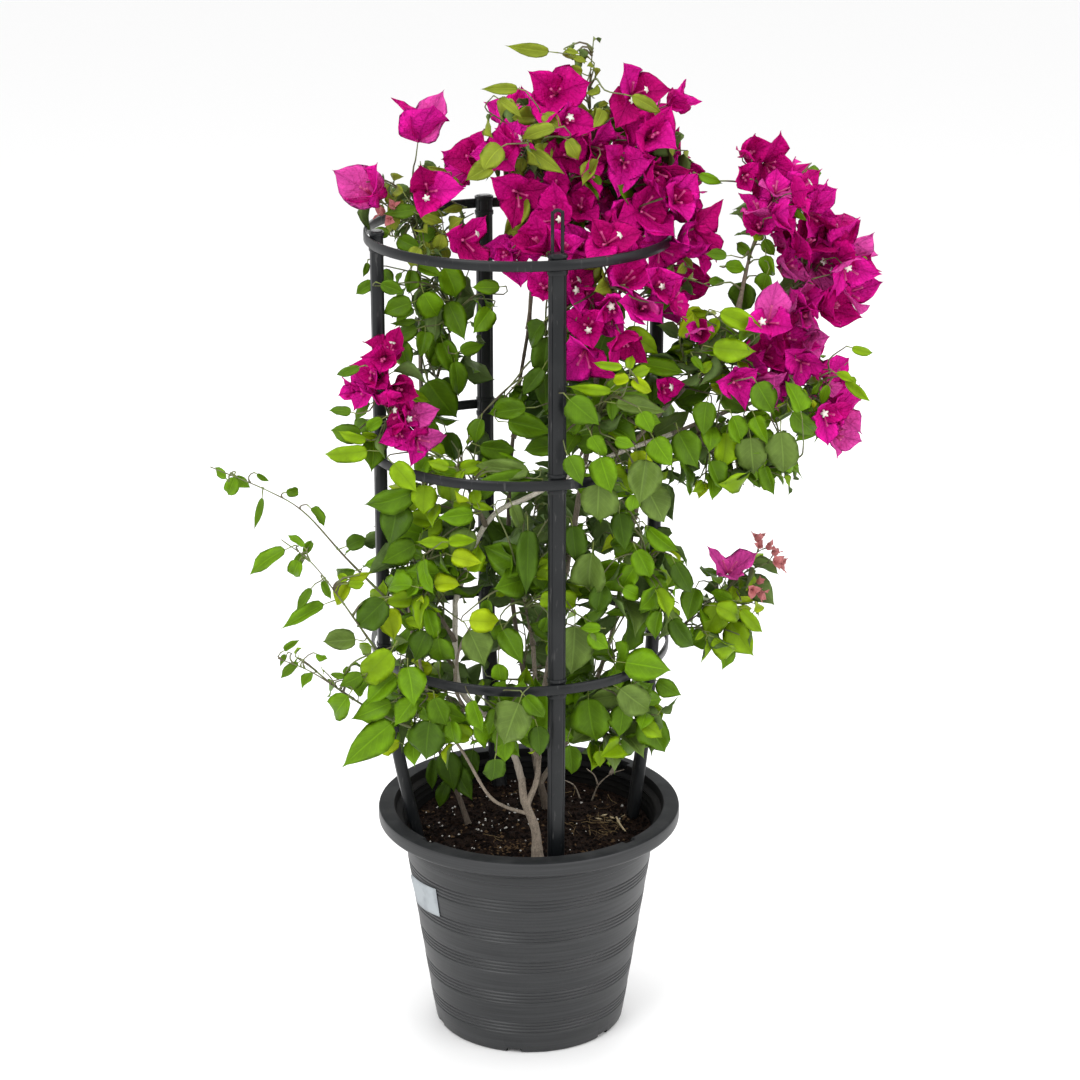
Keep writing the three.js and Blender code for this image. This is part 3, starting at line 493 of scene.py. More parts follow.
def ring_faces(rings, sides, closed=False):
    """Faces between rings of vertices. closed joins the last ring to the first."""
    i = np.arange(rings if closed else rings - 1)[:, None]
    j = (i + 1) % rings
    k = np.arange(sides)
    n = (k + 1) % sides
    return joined(i * sides + k, i * sides + n, j * sides + n, j * sides + k)


def end_faces(rings, sides):
    """Faces over the first and the last ring, round the two vertices that follow the rings."""
    k = np.arange(sides)
    n = (k + 1) % sides
    last = (rings - 1) * sides
    return np.vstack([joined(rings * sides, n, k), joined(rings * sides + 1, last + k, last + n)])


def tube(path, radius, sides, relief=None):
    """A closed tube along a path. relief scales the radius by ring and angle."""
    path = np.asarray(path, float)
    rings = len(path)
    radius = np.broadcast_to(np.asarray(radius, float), (rings,))
    first, second = frames(path)
    angles = np.arange(sides) * 2 * math.pi / sides
    scale = radius[:, None] * (np.ones((rings, sides)) if relief is None else relief)
    around = np.cos(angles)[None, :, None] * first[:, None] + np.sin(angles)[None, :, None] * second[:, None]
    vertices = (path[:, None] + around * scale[..., None]).reshape(-1, 3)
    lengths = np.concatenate([[0], np.cumsum(np.linalg.norm(np.diff(path, axis=0), axis=1))])
    uv = joined(np.arange(sides) / sides, lengths[:, None] / 100)
    uv = np.vstack([uv, (0, 0), (0, lengths[-1] / 100)])
    faces = [ring_faces(rings, sides), end_faces(rings, sides)]
    return np.vstack([vertices, path[0], path[-1]]), faces, uv


def lathe(profile, sides, middle=(0, 0), turn=0):
    """A closed body turned from a profile of (radius, height), a loop or a line from axis to axis."""
    profile = np.asarray(profile, float)
    closed = profile[0][0] > 0
    body = profile if closed else profile[1:-1]
    angles = turn + np.arange(sides) * 2 * math.pi / sides
    x = middle[0] + body[:, None, 0] * np.cos(angles)
    y = middle[1] + body[:, None, 0] * np.sin(angles)
    vertices = joined(x, y, body[:, None, 1])
    rings = len(body)
    if closed:
        return vertices, [ring_faces(rings, sides, closed)]
    ends = [[*middle, profile[0][1]], [*middle, profile[-1][1]]]
    return np.vstack([vertices, ends]), [ring_faces(rings, sides), end_faces(rings, sides)]


# Materials


def plain(name, color, roughness, **sockets):
    made = bpy.data.materials.new(name)
    made.use_nodes = True
    shader = made.node_tree.nodes["Principled BSDF"]
    shader.inputs["Base Color"].default_value = (*color, 1)
    shader.inputs["Roughness"].default_value = roughness
    for socket, value in sockets.items():
        shader.inputs[socket.replace("_", " ")].default_value = value
    return made


def node(made, kind, inputs=None, **settings):
    """A shader node. inputs are values or the output sockets of other nodes."""
    new = made.node_tree.nodes.new(kind)
    for key, value in settings.items():
        setattr(new, key, value)
    for key, value in (inputs or {}).items():
        socket = new.inputs[key]
        if isinstance(value, bpy.types.NodeSocket):
            made.node_tree.links.new(value, socket)
        else:
            socket.default_value = value
    return new


def shader_of(made):
    return made.node_tree.nodes["Principled BSDF"]


def link(made, output, socket):
    made.node_tree.links.new(output, shader_of(made).inputs[socket])


def blend(made, factor, first, second):
    """A colour between two, by a factor socket."""
    mix = node(made, "ShaderNodeMix", data_type="RGBA")
    made.node_tree.links.new(factor, mix.inputs[0])
    for socket, value in ((mix.inputs[6], first), (mix.inputs[7], second)):
        if isinstance(value, bpy.types.NodeSocket):
            made.node_tree.links.new(value, socket)
        else:
            socket.default_value = (*value, 1)
    return mix.outputs[2]


def spots(made, coords, scale, detail=3, low=0.4, high=0.6, stretch=(1, 1, 1)):
    """A soft mask of noise, from 0 below low to 1 above high."""
    mapped = node(made, "ShaderNodeMapping", {"Vector": coords, "Scale": stretch})
    grain = node(
        made, "ShaderNodeTexNoise", {"Vector": mapped.outputs[0], "Scale": scale, "Detail": detail}
    )
    ranged = node(
        made, "ShaderNodeMapRange",
        {"Value": grain.outputs[0], "From Min": low, "From Max": high},
    )
    return ranged.outputs[0]


def rough(made, factor, low, high):
    ranged = node(made, "ShaderNodeMapRange", {"Value": factor, "To Min": low, "To Max": high})
    link(made, ranged.outputs[0], "Roughness")


def bump(made, height, strength, distance=0.001):
    bumped = node(made, "ShaderNodeBump", {"Height": height, "Strength": strength, "Distance": distance})
    link(made, bumped.outputs[0], "Normal")


def object_coords(made):
    return node(made, "ShaderNodeTexCoord").outputs["Object"]


def scaled(color, factor):
    return tuple(min(1, c * factor) for c in color)


def mottled(name, base, first, layers, roughness, shine=0.5, worn=None, relief=None, grain=None):
    """A surface of one tone under layers of spots, each of them a tint and then what spots() takes.

    worn is the range of roughness over the first layer's spots. relief is the strength and the height
    of bumps, which follow the last layer's spots, or a grain of their own.
    """
    made = plain(name, base, roughness, Specular_IOR_Level=shine)
    coords = object_coords(made)
    color, masks = first, []
    for tint, *pattern in layers:
        masks.append(spots(made, coords, *pattern))
        color = blend(made, masks[-1], color, tint)
    link(made, color, "Base Color")
    if worn:
        rough(made, masks[0], *worn)
    if relief:
        bump(made, spots(made, coords, *grain) if grain else masks[-1], *relief)
    return made


def blade_look(name, color, vein, roughness, veins=8, shine=0.2, crinkle=0.0):
    """A leaf or bract: its midrib and side veins drawn over the base colour, with painted shade along the
    midrib, painted light towards the edges and, where crinkle is given, painted shade in the folds.
    """
    made = plain(name, color, roughness, Specular_IOR_Level=shine)
    uv = node(made, "ShaderNodeUVMap", uv_map="UVMap").outputs[0]
    parts = node(made, "ShaderNodeSeparateXYZ", {"Vector": uv})

    def maths(operation, *values):
        return node(
            made, "ShaderNodeMath", dict(enumerate(values)), operation=operation
        ).outputs[0]

    side = maths("ABSOLUTE", maths("SUBTRACT", parts.outputs[0], 0.5))
    slanted = maths("SUBTRACT", maths("MULTIPLY", parts.outputs[1], veins), maths("MULTIPLY", side, 5.0))
    ribs = maths("PINGPONG", slanted, 0.5)
    rib_mask = node(made, "ShaderNodeMapRange", {"Value": ribs, "From Min": 0.09, "From Max": 0.0})
    mid_mask = node(made, "ShaderNodeMapRange", {"Value": side, "From Min": 0.035, "From Max": 0.008})
    mask = maths("MAXIMUM", maths("MULTIPLY", rib_mask.outputs[0], 0.45), mid_mask.outputs[0])
    coords = object_coords(made)
    patches = spots(made, coords, 70, 3, 0.35, 0.68)
    # Darker along the midrib and lighter towards the edges: painted shade in the fold and painted light on
    # the edges
    rim = node(made, "ShaderNodeMapRange", {"Value": side, "From Min": 0.02, "From Max": 0.45})
    body = blend(made, rim.outputs[0], scaled(color, 0.78), scaled(color, 1.15))
    body = blend(made, patches, body, scaled(color, 0.66))
    # Crinkled bracts are darker in their folds: painted shade
    if crinkle:
        folds = spots(made, coords, 210, 4, 0.5, 0.72)
        body = blend(made, folds, body, scaled(color, 0.74))
    link(made, blend(made, maths("MULTIPLY", mask, 0.5), body, vein), "Base Color")
    relief = maths("MULTIPLY", mask, -1.0)
    wrinkles = spots(made, coords, 240, 3, 0.3, 0.7)
    relief = maths("ADD", relief, maths("MULTIPLY", wrinkles, 0.35 + crinkle))
    bump(made, relief, 0.35 + 0.4 * crinkle, 0.0006 + 0.001 * crinkle)
    return made


# Limbs and stems, and what new growth must keep clear of

BALL_GAP = 4  # millimetres between the balls that stand for a limb or pole
RING_BALLS = 228  # balls that stand for a hoop


def pole_at(degrees, z):
    """Middle of a pole at a height, and the direction it faces."""
    angle = math.radians(degrees + CAGE_TURN)
    lean = (max(0, CAGE_BEND - z) / (CAGE_BEND - CAGE_FOOT)) ** FOOT_POWER
    out = np.array([math.cos(angle), math.sin(angle), 0])
    return out * (POLE_RADIUS - FOOT_IN * lean) + (CAGE_X + FOOT_SHIFT * lean, 0, z), out


CURVES = {}


def curve_of(name):
    """The curve of a limb or of a mass's stem, from its foot or from the limb that carries it."""
    if name not in CURVES:
        row = LIMBS.get(name) or MASSES[name]
        if "foot" in row:
            start = (*row["foot"], SOIL_TOP)
        else:
            parent = curve_of(row["on"])
            start = parent.at(row["at"])
            if row["at"] == 1:
                start = start - parent.tangent(1) * 2
        CURVES[name] = Curve([start, *row["via"]])
    return CURVES[name]


def limb_radius(name, share):
    root, tip = LIMBS[name]["radius"]
    return root + (tip - root) * share + LIMBS[name].get("flare", 0) * np.exp(-share * 9)


def stem_radius(share):
    return STEM_RADIUS[0] + (STEM_RADIUS[1] - STEM_RADIUS[0]) * share


def barriers():
    """Balls that stand for limbs, stems, poles and hoops, and the index of the mass that owns each."""
    places, radii, owners = [], [], []

    def line(points, radius, owner=-1):
        places.append(points)
        radii.append(np.broadcast_to(radius, (len(points),)))
        owners.append(np.full(len(points), owner))

    for index, name in enumerate([*LIMBS, *MASSES]):
        curve = curve_of(name)
        share = np.linspace(0, 1, max(2, int(curve.length / BALL_GAP)))
        radius = limb_radius(name, share) if name in LIMBS else stem_radius(share)
        line(curve.at(share), radius, index - len(LIMBS))
    for degrees in POLES.values():
        heights = np.arange(CAGE_FOOT, POLE_TOP + BALL_GAP, BALL_GAP)
        line(np.array([pole_at(degrees, z)[0] for z in heights]), POLE_ACROSS)
    angles = np.linspace(0, 2 * math.pi, RING_BALLS, endpoint=False)
    for top in HOOP_TOPS.values():
        x, y = CAGE_X + HOOP_MIDDLE * np.cos(angles), HOOP_MIDDLE * np.sin(angles)
        line(np.stack([x, y, np.full(RING_BALLS, top - 4.8)], -1), HOOP_HEIGHT / 2 + 1)
    return np.vstack(places), np.concatenate(radii), np.concatenate(owners)


PLACES, RADII, OWNERS = barriers()
NAMES = list(MASSES)
CENTRES = np.array([MASSES[n]["centre"] for n in NAMES], float)
SIZES = np.array([MASSES[n]["size"] for n in NAMES], float)
MEANS = SIZES.mean(1)
BOX_LOW = np.array(CAD_BOX[0]) / MM + 1
BOX_HIGH = np.array(CAD_BOX[1]) / MM - 1


def in_space(index, points, margin, swell):
    """Whether points keep to a mass's ellipsoid and to its side of each neighbour."""
    points = np.atleast_2d(points)
    if (np.linalg.norm((points - CENTRES[index]) / SIZES[index], axis=1) > swell).any():
        return False
    if past_box(points):
        return False
    between = np.delete(CENTRES, index, 0) - CENTRES[index]
    distance = np.linalg.norm(between, axis=1)
    edge = (distance**2 + MEANS[index] ** 2 - np.delete(MEANS, index) ** 2) / (2 * distance)
    reach = (points - CENTRES[index]) @ (between / distance[:, None]).T
    return bool((reach <= edge - margin).all())


def clear_of_pot(points):
    """Above the rim, or inside it and above the soil."""
    points = np.atleast_2d(points)
    radius = np.hypot(points[:, 0], points[:, 1])
    inside = (radius < MOUTH - LIP) & (points[:, 2] > SOIL_TOP + 6)
    return bool(((points[:, 2] > POT_HEIGHT + 4) | inside).all())


MOST_BLADES = 9000
BLADE_SLOPE = 0.2  # how far a blade's edges rise beside its midrib


class Crowd:
    """The blades placed so far, as flat kites."""

    def __init__(self):
        self.count = 0
        self.foot, self.way, self.side, self.normal = (np.zeros((MOST_BLADES, 3)) for _ in range(4))
        self.length, self.wide = np.zeros(MOST_BLADES), np.zeros(MOST_BLADES)
        self.spread = np.zeros((MOST_BLADES, 12, 3))

    def near(self, foot, length):
        rows = np.arange(self.count)
        gap = np.linalg.norm(self.foot[: self.count] - foot, axis=1)
        return rows[gap < self.length[: self.count] + length]

    def meets(self, rows, points, radius):
        """Whether any ball at points meets any of these blades."""
        if not len(rows):
            return False
        gap = points[None] - self.foot[rows][:, None]
        along = np.einsum("rpk,rk->rp", gap, self.way[rows])
        across = np.abs(np.einsum("rpk,rk->rp", gap, self.side[rows]))
        above = np.abs(np.einsum("rpk,rk->rp", gap, self.normal[rows]) - across * BLADE_SLOPE)
        length = self.length[rows][:, None]
        half = half_width(along, length, self.wide[rows][:, None])
        abreast = (along > -radius) & (along < length + radius)
        return bool((abreast & (across < half + radius) & (above < radius)).any())

    def add(self, blade):
        i = self.count
        self.foot[i], self.way[i], self.side[i], self.normal[i] = blade[:4]
        self.length[i], self.wide[i] = blade[4:6]
        self.spread[i] = spread_of(blade)
        self.count += 1


def half_width(along, length, wide):
    """Half the width of a blade at a distance along it."""
    widest = 0.4 * length
    share = np.where(along < widest, along / widest, (length - along) / (length - widest))
    return wide * length * np.clip(share * 1.25, 0, 1)


def spread_of(blade):
    """Points over a blade: its edges, its middle and its tip."""
    foot, way, side, normal, length, wide = blade
    rows = []
    for share in (0.2, 0.42, 0.65, 0.95):
        half = half_width(share * length, length, wide)
        for part in (-0.9, 0, 0.9):
            across = part * half
            rows.append(foot + way * share * length + side * across + normal * abs(across) * BLADE_SLOPE)
    return np.array(rows)


def beside(points, blade):
    """Where points lie by a blade: along it, across it and off its face, and its half width there."""
    start, way, side, normal, length, wide = blade
    gap = points - start
    along = gap @ way
    across = np.abs(gap @ side)
    return along, across, np.abs(gap @ normal - across * BLADE_SLOPE), half_width(along, length, wide)


def near_any(middles, place, reach):
    """Whether any of these middles lies within reach of a place."""
    return len(middles) > 0 and bool((np.linalg.norm(middles - place, axis=1) < reach).any())


def outward(place, rise):
    """The way out from the middle of the cage, rising more where rise is larger."""
    return unit((place[0] - CAGE_X, place[1], rise))


def past_box(points):
    """Whether any point is outside the box of the solids."""
    return bool((points < BOX_LOW).any() or (points > BOX_HIGH).any())


def reach_of(index, start, direction):
    """How far a mass's ellipsoid reaches from a point in a direction."""
    start = (start - CENTRES[index]) / SIZES[index]
    step = direction / SIZES[index]
    a, b = step.dot(step), start.dot(step)
    inside = b * b - a * (start.dot(start) - 1)
    return (-b + math.sqrt(inside)) / a if inside > 0 else 0


# How each mass is dressed. tone is its green from 0, deep, to 5, yellow, and the deeper tones of the masses
# in the core and at the back are partly painted shade. twigs and gap are the number of twigs and the
# millimetres between leaves, stem_gap those between leaves on the stem itself, leaf the length of a full
# leaf, broad and narrow what a leaf's half width has more or less, clusters the most blooms that the rule
# adds, top a height that blooms stay below, and floor and roof the heights that leaves keep between.
DRESS = {
    "low_left": dict(tone=2.5, twigs=9, floor=318),
    "low_front": dict(tone=2.2, twigs=6, broad=0.05, floor=322),
    "low_right": dict(tone=2.0, twigs=7, broad=0.06),
    "low_back": dict(tone=1.5),
    "low_back_left": dict(tone=1.3),
    "mid_left": dict(tone=2.8),
    "mid_front": dict(tone=2.2, broad=0.04),
    "mid_right": dict(tone=2.1, broad=0.05),
    "mid_back": dict(tone=1.5),
    "mid_back_left": dict(tone=1.4),
    "mid_core": dict(tone=0.9),
    "front_left": dict(tone=2.6),
    "front_right": dict(tone=2.1, broad=0.04),
    "upper_right": dict(tone=1.8),
    "upper_core": dict(tone=1.4),
    "upper_back": dict(tone=1.5),
    "upper_left": dict(tone=2.2, gap=26, twigs=6, broad=0.05),
    "left_blossom": dict(tone=2.2, twigs=5, clusters=0),
    "crown_left": dict(tone=2.9, twigs=7, gap=22, leaf=34, clusters=0, roof=868),
    "crown_middle": dict(tone=2.6, gap=30, leaf=34, clusters=12),
    "crown_top": dict(tone=3.2, twigs=2, gap=30, leaf=24, stem_gap=40, clusters=8, top=926),
    "crown_right": dict(tone=2.4, gap=30, leaf=34, clusters=15),
    "crown_front": dict(tone=2.3, gap=26, leaf=38, clusters=12),
    "crown_link": dict(tone=2.5, gap=28, leaf=36, clusters=3),
    "crown_back": dict(tone=2.2, gap=22),
    "right_leaves": dict(tone=2.2, broad=0.04, twigs=15, gap=14, floor=574),
    "right_low_blossom": dict(tone=2.6, gap=24, leaf=38, twigs=11, clusters=6),
    "right_top_blossom": dict(tone=2.8, gap=28, leaf=34, twigs=9, clusters=6),
    "right_blossom": dict(tone=2.6, gap=28, leaf=34, twigs=11, clusters=8),
    "right_inner": dict(tone=2.8, gap=14, twigs=14, clusters=2),
    "spray_left_high": dict(tone=2.6, twigs=0, leaf=24, stem_gap=90, narrow=0.05),
    "spray_left_mid": dict(tone=2.5, twigs=1, gap=26, leaf=34, stem_gap=60, narrow=0.05),
    "spray_left_low": dict(tone=2.6, twigs=2, gap=24, leaf=36, stem_gap=50, narrow=0.04),
    "spray_right": dict(tone=3.0, twigs=6, gap=20, leaf=46, stem_gap=26, clusters=0),
}

# Shoots that the photo shows one by one: the share of the mass's stem where each leaves, where its tip is,
# what it carries there, a bloom by its radius, buds or leaves, and the way that it faces.
SHOOTS = {
    "crown_left": [
        (0.97, (-102, 0, 893), 40, (0.1, -0.2, 1)),
        (0.5, (-138, -16, 842), 37, (-0.5, -0.5, 0.5)),
        (0.8, (-92, -32, 853), 31, (0.1, -1, 0.25)),
        (0.55, (-60, -52, 812), 27, (0.5, -0.7, 0.1)),
        (0.55, (-124, -20, 828), "bud", (-0.3, -0.5, 0.3)),
        (0.62, (-140, -6, 838), "leaves", (-1, -0.1, 0)),
        (0.35, (-96, -40, 806), "leaves", (0, -0.6, -0.6)),
    ],
    "crown_middle": [
        (0.9, (-40, -14, 880), 32, (-0.5, -0.6, 0.3)),
        (0.85, (-52, -4, 868), 30, (-0.8, -0.5, 0.2)),
        (0.45, (-16, -46, 802), 23, (-0.4, -0.8, -0.2)),
        (0.8, (-4, -40, 900), "leaves", (0, -0.5, -0.8)),
        (0.95, (-6, -10, 930), "leaves", (-0.9, -0.1, 0.2)),
    ],
    "crown_top": [
        (0.4, (26, -16, 940), 36, (-0.2, -0.9, 0.35)),
        (0.35, (94, -12, 938), 34, (0.4, -0.8, 0.5)),
        (0.3, (128, -4, 928), 26, (0.8, -0.2, 0.5)),
        (0.2, (108, -28, 902), 33, (0.4, -0.9, 0.2)),
        (0.55, (50, -12, 976), "leaves", (-1, -0.1, -0.05)),
        (0.45, (68, -30, 930), "leaves", (0.5, -0.5, 0.2)),
    ],
    "left_blossom": [
        (0.75, (-137, -80, 690), 26, (-0.3, -0.8, 0.5)),
        (0.8, (-152, -76, 676), 21, (-0.9, -0.3, 0.1)),
        (1, (-128, -72, 704), 27, (0.1, -0.3, 1)),
        (0.85, (-124, -90, 684), 25, (0.4, -0.9, 0.1)),
        (0.45, (-112, -86, 652), 24, (0.2, -0.8, 0.3)),
        (0.3, (-104, -90, 634), 23, (0.5, -0.9, -0.1)),
    ],
    "spray_right": [
        (0.6, (191, -34, 482), 26, (0.1, -0.35, 0.9)),
        (0.9, (220, -20, 500), "bud", (0.4, -0.2, 0.8)),
        (0.95, (230, -18, 488), "bud", (0.8, -0.2, 0.4)),
        (0.85, (213, -26, 466), "bud", (0.5, -0.5, 0.1)),
        (0.5, (172, -44, 424), "leaves", (0.3, -0.7, -0.5)),
    ],
}

# Where the photo shows the sky or a bare cane between the leaves: the pixels of two corners, and how far
# forward and back the opening is kept
OPENINGS = [
    ((508, 270), (552, 380), (-150, 150)), ((444, 600), (478, 678), (-200, -62)),
    ((506, 604), (536, 662), (-200, 20)), ((476, 188), (502, 268), (-200, 128)),
    ((436, 186), (476, 207), (-200, 128)), ((704, 124), (738, 200), (-200, 200)),
    ((704, 250), (778, 308), (-200, 200)), ((828, 314), (900, 358), (-200, 200)),
    ((864, 354), (900, 440), (-200, 200)), ((838, 120), (900, 206), (-200, 200)),
    ((782, 110), (900, 160), (-200, 200)), ((372, 318), (392, 420), (-200, 200)),
]

# Limbs that the photo shows bare: between which shares of each no leaf of the rule stands in front
BARE = {"right_bough": (0.36, 1), "left_cane": (0.55, 1)}

# Dry canes and twiglets, bare from end to end
DRY = [
    ((-62, -56, 352), (-70, -68, 380), (-66, -76, 420), (-52, -78, 448), (-40, -74, 452), (-30, -66, 440)),
    ((-98, -60, 372), (-104, -72, 410), (-100, -80, 446), (-92, -78, 464)),
    ((64, 58, 206), (70, 50, 226), (82, 46, 240), (96, 44, 246)),
    ((70, 50, 226), (66, 44, 240), (58, 42, 248)),
    ((82, 46, 240), (88, 48, 252), (86, 50, 262)),
    ((52, 62, 206), (46, 54, 224), (36, 50, 232)),
]


def in_opening(points):
    """Whether any point lies in one of the openings."""
    points = np.atleast_2d(points)
    x, y = pixels(points)
    for first, last, (front, back) in OPENINGS:
        inside = (x > first[0]) & (x < last[0]) & (y > first[1]) & (y < last[1])
        if (inside & (points[:, 1] > front) & (points[:, 1] < back)).any():
            return True
    return False
